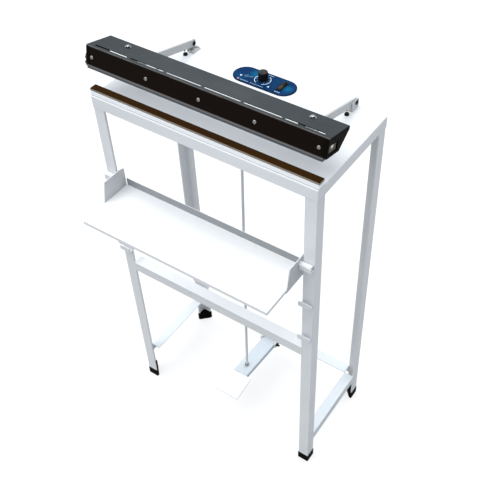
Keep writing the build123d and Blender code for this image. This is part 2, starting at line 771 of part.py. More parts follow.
def hood_outline(inset, bottom, radius):
    """The jaw section, inset from its front, top and rear walls."""
    slant = math.radians(JAW_SLANT)
    bend_z = JAW_REAR_EDGE + inset * (1 / math.sin(slant) - 1) * math.tan(slant)
    foot_y = JAW_REAR - (JAW_REAR_EDGE - bottom) / math.tan(slant) - inset / math.sin(slant)
    front = JAW_FRONT + inset
    rear = JAW_REAR - inset
    top = JAW_TOP - inset
    face = polygon((front, bottom), (front, top), (rear, top), (rear, bend_z), (foot_y, bottom))
    bends = [corner_at(face, front, top), corner_at(face, rear, top)]
    face = fillet(bends, radius)
    return fillet(corner_at(face, rear, bend_z), radius)


def slot_cutter(x):
    """One ventilation slot along the front of the jaw."""
    flat = Pos(x, SLOT_Y) * SlotOverall(SLOT_LENGTH, SLOT_WIDTH)
    return prism_z(flat, JAW_TOP - 4, JAW_TOP + 1)


def jaw_cover():
    """The folded steel cover: front, top and a short rear lip, open at the back, with its row of slots."""
    shell = prism_x(hood_outline(0, JAW_BOTTOM, JAW_BEND_RADIUS), -JAW_HALF_LENGTH, JAW_HALF_LENGTH)
    inside = hood_outline(JAW_SHEET, JAW_BOTTOM - 2, JAW_BEND_RADIUS - JAW_SHEET)
    shell -= prism_x(inside, -JAW_HALF_LENGTH - 1, JAW_HALF_LENGTH + 1)
    length = JAW_HALF_LENGTH + 1
    shell -= block(-length, length, PRESS_BAR_REAR, JAW_REAR + 1, JAW_BOTTOM - 3, JAW_LIP)
    for side in (-1, 1):
        shell -= end_cap_space(side)
    for number in range(SLOT_COUNT):
        shell -= slot_cutter((number - (SLOT_COUNT - 1) / 2) * SLOT_PITCH)
    for x in FRONT_SCREW_X:
        shell -= pin_y(x, JAW_FRONT - 1, JAW_FRONT + 3, FRONT_SCREW_Z, COVER_SCREW_RADIUS)
    for side in (-1, 1):
        shell -= pin_z(side * TOP_SCREW_X, TOP_SCREW_Y, JAW_TOP - 3, JAW_TOP + 1, COVER_SCREW_RADIUS)
    return opened(shell)


def end_cap_space(side):
    """The end stretch of the jaw under the top sheet, which the cap fills."""
    low, high = sorted((side * CAP_INNER_X, side * (JAW_HALF_LENGTH + 1)))
    return block(low, high, JAW_FRONT - 1, JAW_REAR + 1, JAW_BOTTOM - 3, JAW_TOP - JAW_BEND_RADIUS)


def end_cap(side):
    """A moulded cap with the window that the pressure bar's end block stands in."""
    low, high = sorted((side * CAP_INNER_X, side * JAW_HALF_LENGTH))
    outer = prism_x(hood_outline(0, JAW_BOTTOM, JAW_BEND_RADIUS), low, high) & end_cap_space(side)
    core_low, core_high = sorted((side * CAP_INNER_X, side * (JAW_HALF_LENGTH - CAP_STEP)))
    core = prism_x(hood_outline(JAW_SHEET, JAW_BOTTOM, JAW_BEND_RADIUS - JAW_SHEET), core_low, core_high)
    window = block(low - 1, high + 1, CAP_WINDOW_FRONT, CAP_WINDOW_REAR, CAP_WINDOW_LOW, CAP_WINDOW_HIGH)
    window = fillet(window.edges().filter_by(Axis.X), CAP_WINDOW_CORNER)
    return opened(outer + core - window)


def end_caps():
    return group(end_cap(-1), end_cap(1))


def pressure_bar():
    """The hollow aluminium bar that presses, with a groove for the rubber. Its lip runs on under the caps."""
    front = JAW_FRONT + JAW_SHEET
    rear = PRESS_BAR_REAR
    wall = PRESS_BAR_WALL
    end = PRESS_BAR_END
    low = PRESS_BAR_BOTTOM
    chamfer = PRESS_BAR_CHAMFER
    outline = polygon(
        (front, low),
        (front, PRESS_BAR_TOP),
        (rear, PRESS_BAR_TOP),
        (rear, low + chamfer),
        (rear - chamfer, low),
    )
    body = prism_x(outline, -end, end)
    body -= block(-end - 1, end + 1, front + wall, rear - wall, low + chamfer, PRESS_BAR_TOP - wall)
    body += block(PRESS_LIP_LEFT, PRESS_LIP_RIGHT, front, rear - chamfer, low, JAW_BOTTOM - FIT_GAP)
    groove_rear = RUBBER_FRONT + RUBBER_WIDTH
    body -= block(PRESS_LIP_LEFT - 1, PRESS_LIP_RIGHT + 1, RUBBER_FRONT, groove_rear, low - 1, RUBBER_SEAT)
    for x in FRONT_SCREW_X:
        body -= pin_y(x, front - 1, front + COVER_SCREW_TAPPING, FRONT_SCREW_Z, COVER_SCREW_RADIUS)
    for side in (-1, 1):
        x = side * JAW_BRACKET_BOLT_X
        body -= pin_y(x, rear - COVER_SCREW_TAPPING, rear + 1, JAW_BRACKET_BOLT_Z, COVER_SCREW_RADIUS)
    return opened(body)


def rubber_face(y):
    """The height of the rubber's face in the level jaw, which comes down flat on the tape."""
    lean = math.radians(JAW_TILT - JAW_CLOSING)
    return (TAPE_TOP + RUBBER_GAP - HINGE_Z + y * math.sin(lean)) / math.cos(lean)


def pressure_rubber():
    """The silicone strip that presses on the tape."""
    front = RUBBER_FRONT
    rear = front + RUBBER_WIDTH
    outline = polygon(
        (front, RUBBER_SEAT),
        (rear, RUBBER_SEAT),
        (rear, rubber_face(rear)),
        (front, rubber_face(front)),
    )
    return opened(prism_x(outline, PRESS_LIP_LEFT, PRESS_LIP_RIGHT))


def end_blocks():
    """Plugs for the pressure bar: the right one set back in its window, the left one with a plate outside."""
    front = END_BLOCK_FRONT
    rear = END_BLOCK_REAR
    low = END_BLOCK_LOW
    high = END_BLOCK_HIGH
    right = block(PRESS_BAR_END, JAW_HALF_LENGTH - END_BLOCK_RECESS, front, rear, low, high)
    right = fillet(right.faces().sort_by(Axis.X)[-1].edges(), END_BLOCK_CORNER)
    inner = JAW_HALF_LENGTH + END_PLATE_SET
    heel = PRESS_LIP_LEFT - FIT_GAP
    under = JAW_BOTTOM - FIT_GAP
    foot = PRESS_BAR_BOTTOM
    plate = polygon(
        (-inner, high),
        (END_PLATE_FACE, high),
        (END_PLATE_FACE, END_PLATE_BEND),
        (END_PLATE_FACE - END_PLATE_KICK, END_PLATE_KNEE),
        (heel - END_PLATE_TOE, foot),
        (heel, foot),
        (heel, under),
        (-inner, under),
    )
    left = prism_y(plate, END_PLATE_FRONT, rear) + block(-inner, -PRESS_BAR_END, front, rear, low, high)
    left -= pin_x(END_PLATE_FACE - 1, -PRESS_BAR_END + 1, END_SCREW_Y, END_SCREW_Z, END_SCREW_RADIUS)
    return opened(group(right, left))


def end_screw():
    """The black socket screw that holds the left end block."""
    face = END_PLATE_FACE
    screw = pin_x(face, -PRESS_BAR_END, END_SCREW_Y, END_SCREW_Z, END_SCREW_RADIUS)
    head = pin_x(face - END_SCREW_HEIGHT, face, END_SCREW_Y, END_SCREW_Z, END_SCREW_HEAD)
    head = fillet(head.faces().sort_by(Axis.X)[0].edges(), END_SCREW_ROUND)
    socket = Pos(END_SCREW_Y, END_SCREW_Z) * RegularPolygon(END_SCREW_SOCKET, 6)
    head -= prism_x(socket, face - END_SCREW_HEIGHT - 1, face - END_SCREW_SOCKET_FLOOR)
    return opened(screw + head)


def cover_screws_front():
    """The pan-head screws through the front of the cover into the pressure bar."""
    sizes = (COVER_SCREW_LENGTH, COVER_SCREW_RADIUS, FRONT_SCREW_HEAD, COVER_SCREW_HEAD_HEIGHT)
    screws = []
    for x in FRONT_SCREW_X:
        screw = pan_screw_z(0, 0, 0, *sizes)
        screws.append(Pos(x, JAW_FRONT, FRONT_SCREW_Z) * Rot(90, 0, 0) * Rot(0, 0, SCREW_SLOT_TURN) * screw)
    return opened(group(*screws))


def cover_screws_top():
    """Two screws with washers through the top of the cover into the arm brackets."""
    washer = pin_z(TOP_SCREW_X, TOP_SCREW_Y, JAW_TOP, JAW_TOP + TOP_WASHER, TOP_WASHER_RADIUS)
    washer -= pin_z(TOP_SCREW_X, TOP_SCREW_Y, JAW_TOP - 1, JAW_TOP + 2, COVER_SCREW_RADIUS)
    sizes = (TOP_SCREW_LENGTH, COVER_SCREW_RADIUS, TOP_SCREW_HEAD, COVER_SCREW_HEAD_HEIGHT)
    screw = pan_screw_z(TOP_SCREW_X, TOP_SCREW_Y, JAW_TOP + TOP_WASHER, *sizes)
    return opened(mirrored(washer + screw))


def jaw_brackets():
    """Angle brackets that join the arms to the pressure bar and to the top of the cover."""
    rear = PRESS_BAR_REAR
    outer = ARM_INNER_X
    t = BRACKET_SHEET
    end = rear + JAW_BRACKET_DEPTH
    roof = JAW_TOP - JAW_SHEET
    cheek = block(outer - t, outer, rear, end, JAW_BRACKET_LOW, roof)
    foot = block(outer - JAW_BRACKET_FOOT, outer, rear, rear + t, JAW_BRACKET_LOW, JAW_BRACKET_HIGH)
    foot -= pin_y(JAW_BRACKET_BOLT_X, rear - 1, rear + t + 1, JAW_BRACKET_BOLT_Z, COVER_SCREW_RADIUS)
    shelf_end = TOP_SCREW_X + JAW_SHELF_MARGIN
    shelf = block(outer - t, shelf_end, rear + JAW_SHELF_SET, end, roof - JAW_SHELF, roof)
    shelf -= pin_z(TOP_SCREW_X, TOP_SCREW_Y, JAW_TOP - 6, JAW_TOP, COVER_SCREW_RADIUS)
    body = cheek + foot + shelf
    for y in ARM_BOLT_Y:
        body -= pin_x(outer - t - 1, outer + 1, y, arm_height(y), COVER_SCREW_RADIUS)
    return opened(mirrored(body))


def jaw_bracket_bolts():
    """Hexagon bolts: one into the pressure bar and two through the arm, on each side."""
    rear = PRESS_BAR_REAR + BRACKET_SHEET
    bolt = pin_y(JAW_BRACKET_BOLT_X, rear - COVER_SCREW_TAPPING, rear, JAW_BRACKET_BOLT_Z, COVER_SCREW_RADIUS)
    head = hex_z(0, 0, 0, JAW_BOLT_HEAD, JAW_BOLT_FLATS)
    bolt += Pos(JAW_BRACKET_BOLT_X, rear, JAW_BRACKET_BOLT_Z) * Rot(-90, 0, 0) * head
    bolts = [bolt]
    for y in ARM_BOLT_Y:
        z = arm_height(y)
        shank = pin_x(ARM_INNER_X - BRACKET_SHEET, ARM_OUTER_X + JAW_BOLT_TAIL, y, z, COVER_SCREW_RADIUS)
        shank += Pos(ARM_INNER_X - BRACKET_SHEET - JAW_BOLT_HEAD, y, z) * Rot(0, 90, 0) * head
        shank += Pos(ARM_OUTER_X, y, z) * Rot(0, 90, 0) * head
        bolts.append(shank)
    return opened(mirrored(group(*bolts)))


# ---------------------------------------------------------------- arms and their hinges
def arm_height(y):
    """The height of the arm's middle line above the hinge axis in the level jaw."""
    return -y * math.tan(math.radians(ARM_RISE))


def arm(side):
    """A flat bar from the hinge into the jaw, slotted for the tie pin."""
    half = ARM_DEPTH / 2
    low, high = sorted((side * ARM_INNER_X, side * ARM_OUTER_X))
    bar = block(low, high, ARM_END, ARM_TAIL, -half, half)
    bar = fillet(bar.edges().filter_by(Axis.X).group_by(Axis.Y)[-1], ARM_TAIL_CORNER)
    bar -= pin_x(low - 1, high + 1, 0, 0, HINGE_PIN_RADIUS + RUNNING_GAP)
    bar -= tie_slot(low, high)
    bar -= pin_z(side * BUMPER_X, stop_screw_reach(), -half - 1, -half + STOP_SCREW_DEPTH, STOP_SCREW_RADIUS)
    bar = Rot(-ARM_RISE, 0, 0) * bar
    for y in ARM_BOLT_Y:
        bar -= pin_x(low - 1, high + 1, y, arm_height(y), COVER_SCREW_RADIUS)
    return opened(bar)


def tie_slot(low, high):
    """The slot that lets the tie pin slide along the arm as the arm swings."""
    rest = -TIE_REACH / math.cos(math.radians(ARM_ANGLE))
    closed = -TIE_REACH / math.cos(math.radians(ARM_ANGLE - JAW_CLOSING))
    flat = Pos((rest + closed) / 2, 0) * SlotOverall(TIE_SLOT_LENGTH, TIE_SLOT_HEIGHT)
    return prism_x(flat, low - 1, high + 1)


def stop_screw_reach():
    return -(HINGE_Y - BUMPER_Y) / math.cos(math.radians(ARM_ANGLE - JAW_CLOSING))


def stop_screws():
    """Set screws in the lower edges of the arms, over the bumpers."""
    half = ARM_DEPTH / 2
    low = -half - STOP_SCREW_DROP
    screw = pin_z(BUMPER_X, stop_screw_reach(), low, -half + STOP_SCREW_DEPTH, STOP_SCREW_RADIUS)
    return opened(Rot(-ARM_RISE, 0, 0) * mirrored(screw))


def hinge_brackets():
    """Folded brackets: a wall outside each arm, and a base under the arm that is screwed to the table."""
    inner = BRACKET_INNER_X
    outer = BRACKET_OUTER_X
    low = TABLE_HEIGHT
    seat = low + BRACKET_SHEET
    wall = block(inner, outer, BRACKET_FRONT, BRACKET_REAR, low, BRACKET_TOP)
    wall = fillet(wall.edges().filter_by(Axis.X).group_by(Axis.Z)[-1], BRACKET_CORNER)
    base = block(BRACKET_BASE_INNER, outer, BRACKET_FRONT, BRACKET_REAR, low, seat)
    base = fillet(base.edges().filter_by(Axis.Z).group_by(Axis.X)[0], BRACKET_CORNER)
    for y in BRACKET_SCREW_Y:
        base -= pin_z(BRACKET_SCREW_X, y, low - 1, seat + 1, BASE_SCREW_RADIUS)
    return mirrored(wall + base - pin_x(inner - 1, outer + 1, HINGE_Y, HINGE_Z, HINGE_PIN_RADIUS))


def hinge_pins():
    """Tubular pins, flared at both ends, that hold the arms to their brackets."""
    inner = ARM_INNER_X - SIDE_GAP
    outer = BRACKET_OUTER_X
    pin = pin_x(inner, outer, HINGE_Y, HINGE_Z, HINGE_PIN_RADIUS)
    rim = HINGE_PIN_RADIUS + HINGE_FLARE_RIM
    pin += pin_x(inner - HINGE_FLARE, inner, HINGE_Y, HINGE_Z, rim)
    pin += pin_x(outer, outer + HINGE_FLARE, HINGE_Y, HINGE_Z, rim)
    pin -= pin_x(inner - 2, outer + 2, HINGE_Y, HINGE_Z, HINGE_PIN_BORE)
    return mirrored(pin)


def table_screws():
    """The screws in the table: bracket bases from above, sealing bar and control box from below."""
    top = TABLE_HEIGHT + BRACKET_SHEET
    under = TABLE_UNDER - BOX_SHEET
    sizes = (BASE_SCREW_RADIUS, BASE_SCREW_HEAD, BASE_SCREW_HEAD_HEIGHT)
    screws = []
    for side in (-1, 1):
        for y in BRACKET_SCREW_Y:
            screws.append(pan_screw_z(side * BRACKET_SCREW_X, y, top, BASE_SCREW_LENGTH, *sizes))
        for y in BOX_SCREW_Y:
            screws.append(pan_screw_z(side * BOX_SCREW_X, y, under, BOX_SHEET, *sizes, up=-1))
    for x in BAR_SCREW_X:
        screws.append(pan_screw_z(x, BAR_MIDDLE, TABLE_UNDER, BAR_SCREW_LENGTH, *sizes, up=-1))
    return group(*screws)


def arm_bumpers():
    """Black rubber bumpers on the table under the stop screws."""
    body = pin_z(BUMPER_X, BUMPER_Y, TABLE_HEIGHT, TABLE_HEIGHT + BUMPER_HEIGHT, BUMPER_RADIUS)
    body = fillet(body.faces().sort_by(Axis.Z)[-1].edges(), BUMPER_ROUND)
    body += pin_z(BUMPER_X, BUMPER_Y, TABLE_UNDER - BUMPER_STEM_DROP, TABLE_HEIGHT, BUMPER_STEM_RADIUS)
    return mirrored(body)


# ---------------------------------------------------------------- linkage under the table
def rod_bushes():
    """Flanged bushes that guide the tie rods through the table."""
    x = TIE_ROD_X
    body = pin_z(x, ROD_Y, TABLE_UNDER - ROD_BUSH_DROP, TABLE_HEIGHT, ROD_BUSH_RADIUS)
    body += pin_z(x, ROD_Y, TABLE_HEIGHT, TABLE_HEIGHT + ROD_BUSH_FLANGE, ROD_BUSH_RADIUS + ROD_BUSH_RIM)
    low = TABLE_UNDER - ROD_BUSH_DROP - 1
    body -= pin_z(x, ROD_Y, low, TABLE_HEIGHT + ROD_BUSH_FLANGE + 1, ROD_RADIUS + RUNNING_GAP)
    return mirrored(body)


def tie_rods():
    """Upright rods from the yoke to the arms, each with an eye block at its top."""
    inner = TIE_ROD_X - EYE_INNER
    outer = ARM_INNER_X - EYE_GAP
    rod = pin_z(TIE_ROD_X, ROD_Y, YOKE_TOP - YOKE_HEIGHT - TIE_ROD_FOOT, TIE_PIN_Z - EYE_HALF, ROD_RADIUS)
    eye = block(inner, outer, ROD_Y - EYE_HALF, ROD_Y + EYE_HALF, TIE_PIN_Z - EYE_DROP, TIE_PIN_Z + EYE_HALF)
    eye = fillet(eye.edges().filter_by(Axis.X), EYE_CORNER)
    bore = pin_x(inner - 1, outer + 1, ROD_Y, TIE_PIN_Z, TIE_PIN_RADIUS)
    return mirrored(rod + eye - bore)


def tie_pins():
    """Headed pins through the eyes and the slots of the arms."""
    inner = TIE_ROD_X - EYE_INNER
    outer = ARM_OUTER_X + EYE_GAP
    pin = pin_x(inner, outer, ROD_Y, TIE_PIN_Z, TIE_PIN_RADIUS)
    pin += pin_x(inner - TIE_PIN_HEAD, inner, ROD_Y, TIE_PIN_Z, TIE_PIN_RADIUS + TIE_PIN_RIM)
    pin += pin_x(outer, outer + TIE_PIN_CLIP, ROD_Y, TIE_PIN_Z, TIE_PIN_RADIUS + TIE_PIN_RIM)
    return mirrored(pin)


def rod_drop():
    """The height from the pedal's web up to the middle of the yoke."""
    return YOKE_TOP - YOKE_HEIGHT / 2 - rod_web_z()


def leaned(shape):
    """Sets a piece drawn about an upright axis on the pull rod, which leans back. Its zero is at the yoke."""
    lean = math.degrees(math.atan((PULL_ROD_HEAD_Y - PULL_ROD_FOOT_Y) / rod_drop()))
    return Pos(0, PULL_ROD_HEAD_Y, YOKE_TOP - YOKE_HEIGHT / 2) * Rot(-lean, 0, 0) * shape


def rod_length():
    """The length of the pull rod between the yoke's middle and the pedal's web."""
    return math.hypot(rod_drop(), PULL_ROD_HEAD_Y - PULL_ROD_FOOT_Y)


def yoke_bar():
    """The cross bar under the table that joins both tie rods, with a lug at the back for the pull rod."""
    end = TIE_ROD_X + YOKE_END
    low = YOKE_TOP - YOKE_HEIGHT
    half = YOKE_DEPTH / 2
    body = block(-end, end, ROD_Y - half, ROD_Y + half, low, YOKE_TOP)
    body = fillet(body.edges().filter_by(Axis.Z), YOKE_CORNER)
    for side in (-1, 1):
        body -= pin_z(side * TIE_ROD_X, ROD_Y, low - 1, YOKE_TOP + 1, ROD_RADIUS)
        body += pin_z(side * SPRING_X, ROD_Y, YOKE_TOP, YOKE_TOP + SPRING_PLUG_HEIGHT, SPRING_PLUG_RADIUS)
    reach = ROD_Y - PULL_ROD_HEAD_Y
    lug = block(-YOKE_LUG, YOKE_LUG, reach, YOKE_LUG_REAR, -YOKE_LUG_HALF, YOKE_LUG_HALF)
    body += leaned(lug)
    return body - leaned(pin_z(0, 0, -YOKE_HEIGHT, YOKE_HEIGHT, ROD_RADIUS))


def pull_rod():
    """The long rod from the yoke down through the pedal arm."""
    return leaned(pin_z(0, 0, -rod_length() - PULL_ROD_TAIL, YOKE_HEIGHT + 1, ROD_RADIUS))


def nut(x, y, seat, up):
    """One nut on an upright rod, standing on the seat or hanging from it."""
    low, high = sorted((seat, seat + up * NUT_HEIGHT))
    return hex_z(x, y, low, high, NUT_FLATS) - pin_z(x, y, low - 1, high + 1, ROD_RADIUS)


def rod_nuts():
    """Nuts at both faces of the yoke, and above and below the pedal's web with room for its swing."""
    nuts = []
    for x in (-TIE_ROD_X, TIE_ROD_X):
        nuts.append(nut(x, ROD_Y, YOKE_TOP, 1))
        nuts.append(nut(x, ROD_Y, YOKE_TOP - YOKE_HEIGHT, -1))
    gap = PEDAL_SHEET / 2 / math.cos(math.radians(PEDAL_REST_TILT)) + ROD_NUT_GAP
    nuts.append(leaned(nut(0, 0, YOKE_LUG_HALF, 1)))
    nuts.append(leaned(nut(0, 0, -YOKE_LUG_HALF, -1)))
    nuts.append(leaned(nut(0, 0, gap - rod_length(), 1)))
    nuts.append(leaned(nut(0, 0, -gap - rod_length(), -1)))
    return group(*nuts)


def spring_coil(x):
    """One extension spring, a helix of round wire between two plugs."""
    height = SPRING_TOP - SPRING_BOTTOM - SPRING_WIRE
    start = SPRING_BOTTOM + SPRING_WIRE / 2
    path = Helix(pitch=height / SPRING_TURNS, height=height, radius=SPRING_RADIUS)
    section = Plane(path @ 0, z_dir=path % 0) * Circle(SPRING_WIRE / 2)
    return Pos(x, ROD_Y, start) * sweep(section, path=path, is_frenet=True)


def return_springs():
    return group(spring_coil(-SPRING_X), spring_coil(SPRING_X))


def start_switch():
    """The micro switch over the yoke, on its bracket under the table."""
    x0, x1 = START_SWITCH_X
    y0 = ROD_Y - START_SWITCH_HALF
    y1 = ROD_Y + START_SWITCH_HALF
    low = YOKE_TOP + START_SWITCH_RISE
    body = block(x0, x1, y0, y1, low, low + START_SWITCH_HEIGHT)
    body = fillet(body.edges().filter_by(Axis.Z), START_SWITCH_CORNER)
    x = (x0 + x1) / 2
    return body - pin_z(x, ROD_Y, low - 1, low + PLUNGER_BORE, PLUNGER_RADIUS + RUNNING_GAP)


def start_switch_plunger():
    """The button of the micro switch. The raised yoke holds it in."""
    x = sum(START_SWITCH_X) / 2
    low = YOKE_TOP + FIT_GAP
    body = pin_z(x, ROD_Y, low, YOKE_TOP + PLUNGER_LENGTH, PLUNGER_RADIUS)
    return fillet(body.faces().sort_by(Axis.Z)[0].edges(), PLUNGER_ROUND)


def start_switch_bracket():
    """The folded bracket that hangs the micro switch from the table."""
    x0, x1 = START_SWITCH_X
    y = ROD_Y + START_SWITCH_HALF
    t = SWITCH_BRACKET_SHEET
    wall = block(x0, x1, y, y + t, YOKE_TOP + SWITCH_BRACKET_RISE, TABLE_UNDER)
    flange = block(x0, x1, y, y + SWITCH_BRACKET_FLANGE, TABLE_UNDER - t, TABLE_UNDER)
    return wall + flange


# ---------------------------------------------------------------- pedal, drawn level and then raised
def raised(shape):
    """Turns a piece drawn level about the pedal pivot to the raised position."""
    return Pos(0, PEDAL_PIVOT_Y, PEDAL_PIVOT_Z) * Rot(-PEDAL_REST_TILT, 0, 0) * shape


def rod_hole_reach():
    """How far in front of the pivot the rod passes the web, measured along the pedal."""
    tilt = math.radians(PEDAL_REST_TILT)
    middle = PEDAL_WEB_RISE - PEDAL_SHEET / 2
    return -((PEDAL_PIVOT_Y - PULL_ROD_FOOT_Y) / math.cos(tilt) + middle * math.tan(tilt)) + ROD_HOLE_SHIFT


def rod_web_z():
    """The height of the middle of the web where the rod passes it."""
    tilt = math.radians(PEDAL_REST_TILT)
    middle = PEDAL_WEB_RISE - PEDAL_SHEET / 2
    return PEDAL_PIVOT_Z + (PEDAL_PIVOT_Y - PULL_ROD_FOOT_Y) * math.tan(tilt) + middle / math.cos(tilt)


def pedal_arm():
    """The pedal lever, a channel with its open side down."""
    w = PEDAL_HALF_WIDTH
    t = PEDAL_SHEET
    top = PEDAL_WEB_RISE
    low = top - PEDAL_FLANGE
    body = block(-w, w, PEDAL_FRONT_REACH, PEDAL_REAR_REACH, low, top)
    body = fillet(body.edges().filter_by(Axis.Y).group_by(Axis.Z)[-1], PEDAL_CORNER)
    body -= block(-w + t, w - t, PEDAL_FRONT_REACH - 1, PEDAL_REAR_REACH + 1, low - 1, top - t)
    body -= pin_x(-w - 1, w + 1, 0, 0, PEDAL_BOLT_RADIUS + RUNNING_GAP)
    body -= pin_z(0, rod_hole_reach(), top - t - 1, top + 1, ROD_HOLE_RADIUS)
    return raised(body)


def foot_plate():
    """The wide tread at the end of the lever, bent down towards the front."""
    w = PLATE_HALF_WIDTH
    t = PLATE_SHEET
    body = block(-w, w, -PLATE_LENGTH, 0, -t, 0)
    body = fillet(body.edges().filter_by(Axis.Z), PLATE_CORNER)
    body = fillet(body.faces().sort_by(Axis.Z)[-1].edges(), PLATE_RIM)
    setback = t * math.sin(math.radians(PLATE_DROP)) + PLATE_GAP
    place = Pos(0, PEDAL_FRONT_REACH - setback, PEDAL_WEB_RISE) * Rot(PLATE_DROP, 0, 0)
    return raised(place * body)


def pedal_brackets():
    """Two ears welded under the rear rail, which carry the pedal bolt."""
    inner = PEDAL_HALF_WIDTH + SIDE_GAP
    front = PEDAL_PIVOT_Y - EAR_REACH
    low = PEDAL_PIVOT_Z - EAR_HALF_HEIGHT
    high = PEDAL_PIVOT_Z + EAR_HALF_HEIGHT
    rail_y = LEG_Y - ANGLE_THICKNESS
    rail_z = RAIL_TOP - ANGLE_THICKNESS
    outline = polygon((front, low), (front, high), (INNER_Y, rail_z), (rail_y, rail_z), (rail_y, low))
    outline = fillet([corner_at(outline, front, low), corner_at(outline, front, high)], EAR_CORNER)
    outline = fillet(corner_at(outline, rail_y, rail_z), ANGLE_ROOT_RADIUS + 1)
    ear = prism_x(outline, inner, inner + EAR_THICKNESS)
    ear -= pin_x(inner - 1, inner + EAR_THICKNESS + 1, PEDAL_PIVOT_Y, PEDAL_PIVOT_Z, PEDAL_BOLT_RADIUS)
    return mirrored(ear)


def pedal_bolt():
    """The black pivot bolt with its nut."""
    end = PEDAL_HALF_WIDTH + SIDE_GAP + EAR_THICKNESS
    y = PEDAL_PIVOT_Y
    z = PEDAL_PIVOT_Z
    bolt = pin_x(-end, end + PEDAL_BOLT_TAIL, y, z, PEDAL_BOLT_RADIUS)
    head = hex_z(0, 0, 0, PEDAL_NUT_HEIGHT, PEDAL_NUT_FLATS)
    bolt += Pos(-end - PEDAL_NUT_HEIGHT, y, z) * Rot(0, 90, 0) * head
    hexagon = Pos(end, y, z) * Rot(0, 90, 0) * head
    hexagon -= pin_x(end - 1, end + PEDAL_BOLT_TAIL, y, z, PEDAL_BOLT_RADIUS)
    return group(bolt, hexagon)


# ---------------------------------------------------------------- controls
def control_plate():
    """The blue plate with round ends on the table."""
    outline = Pos(0, PANEL_Y) * SlotOverall(PANEL_LENGTH, PANEL_WIDTH)
    body = prism_z(outline, TABLE_HEIGHT, PANEL_TOP)
    body = fillet(body.faces().sort_by(Axis.Z)[-1].edges(), PANEL_RIM)
    return body - control_openings(TABLE_HEIGHT - 1, PANEL_TOP + 1)


def timer_body():
    """The rotary timer control under the table, with its threaded bush and its shaft."""
    body = pin_z(KNOB_X, KNOB_Y, TABLE_UNDER - TIMER_SHELL_HEIGHT, TABLE_UNDER, TIMER_SHELL_RADIUS)
    body += pin_z(KNOB_X, KNOB_Y, TABLE_UNDER, PANEL_TOP + TIMER_BUSH_TOP, TIMER_BUSH_RADIUS)
    body += hex_z(KNOB_X, KNOB_Y, PANEL_TOP, PANEL_TOP + TIMER_NUT_HEIGHT, TIMER_NUT_FLATS)
    return body + pin_z(KNOB_X, KNOB_Y, PANEL_TOP + TIMER_BUSH_TOP, KNOB_TOP - TIMER_SHAFT_STOP, KNOB_BORE)


def timer_knob():
    """A ribbed knob with a hollow underside and a raised pointer."""
    low = PANEL_TOP + KNOB_GAP
    body = pin_z(KNOB_X, KNOB_Y, low, KNOB_TOP, KNOB_RADIUS)
    body = fillet(body.faces().sort_by(Axis.Z)[-1].edges(), KNOB_ROUND)
    grooves = []
    for number in range(KNOB_RIBS):
        angle = math.radians((number + 0.5) * 360 / KNOB_RIBS)
        x = KNOB_X + (KNOB_RADIUS + KNOB_RIB_SET) * math.cos(angle)
        y = KNOB_Y + (KNOB_RADIUS + KNOB_RIB_SET) * math.sin(angle)
        grooves.append(pin_z(x, y, low + KNOB_RIB_START, KNOB_TOP + 1, KNOB_RIB_RADIUS))
    body -= grooves
    body -= pin_z(KNOB_X, KNOB_Y, low - 1, PANEL_TOP + KNOB_HOLLOW_TOP, KNOB_HOLLOW_RADIUS)
    body -= pin_z(KNOB_X, KNOB_Y, low, KNOB_TOP - KNOB_ROOF, KNOB_BORE + RUNNING_GAP)
    front = KNOB_Y - KNOB_RADIUS + POINTER_FRONT
    half = POINTER_HALF
    root = KNOB_TOP - POINTER_ROOT
    pointer = block(KNOB_X - half, KNOB_X + half, front, KNOB_Y - POINTER_REAR, root, KNOB_TOP + POINTER_RISE)
    return body + pointer


def switch_housing():
    """The bezel of the rocker switch and its body under the table."""
    bezel = switch_block(0, PANEL_TOP, PANEL_TOP + BEZEL_HEIGHT)
    bezel = fillet(bezel.edges().filter_by(Axis.Z), BEZEL_CORNER)
    bezel = fillet(bezel.faces().sort_by(Axis.Z)[-1].edges(), BEZEL_RIM)
    body = switch_block(SWITCH_NECK, TABLE_UNDER - SWITCH_DROP, PANEL_TOP)
    body = bezel + body - switch_block(SWITCH_WALL, PANEL_TOP - SWITCH_WELL, PANEL_TOP + BEZEL_HEIGHT + 1)
    reach = SWITCH_WIDTH / 2 - SWITCH_WALL + ROCKER_PIN_REACH
    bore = pin_x(-reach, reach, SWITCH_Y, PANEL_TOP, ROCKER_PIN_RADIUS + RUNNING_GAP)
    return body - Pos(SWITCH_X, 0, 0) * bore


def switch_block(inset, low, high):
    """A block of the switch's outline, inset on all four sides."""
    w = SWITCH_WIDTH / 2 - inset
    length = SWITCH_LENGTH / 2 - inset
    return block(SWITCH_X - w, SWITCH_X + w, SWITCH_Y - length, SWITCH_Y + length, low, high)


def rocker():
    """The rocker, a shallow V that tips on two short pins."""
    half = SWITCH_LENGTH / 2 - SWITCH_WALL - ROCKER_END_GAP
    w = SWITCH_WIDTH / 2 - SWITCH_WALL - ROCKER_GAP
    crest = ROCKER_CREST
    valley = ROCKER_VALLEY
    foot = half * ROCKER_TAPER
    flank = ROCKER_FLANK
    upper = ((-half, crest), (0, valley), (half, crest))
    outline = polygon(*upper, (foot, flank), (0, ROCKER_KEEL), (-foot, flank))
    outline = fillet([corner_at(outline, -half, crest), corner_at(outline, half, crest)], ROCKER_TIP_ROUND)
    outline = fillet(corner_at(outline, 0, valley), ROCKER_VALLEY_ROUND)
    reach = w + ROCKER_GAP + ROCKER_PIN_REACH - SIDE_GAP
    body = prism_x(outline, -w, w) + pin_x(-reach, reach, 0, 0, ROCKER_PIN_RADIUS)
    pivot = Pos(SWITCH_X, SWITCH_Y, PANEL_TOP)
    return pivot * Rot(ROCKER_TILT, 0, 0) * body


def signal_lamp():
    """The small signal lamp in the plate."""
    body = pin_z(LAMP_X, LAMP_Y, TABLE_UNDER - LAMP_DROP, PANEL_TOP + LAMP_RISE, LAMP_RADIUS)
    return fillet(body.faces().sort_by(Axis.Z)[-1].edges(), LAMP_ROUND)


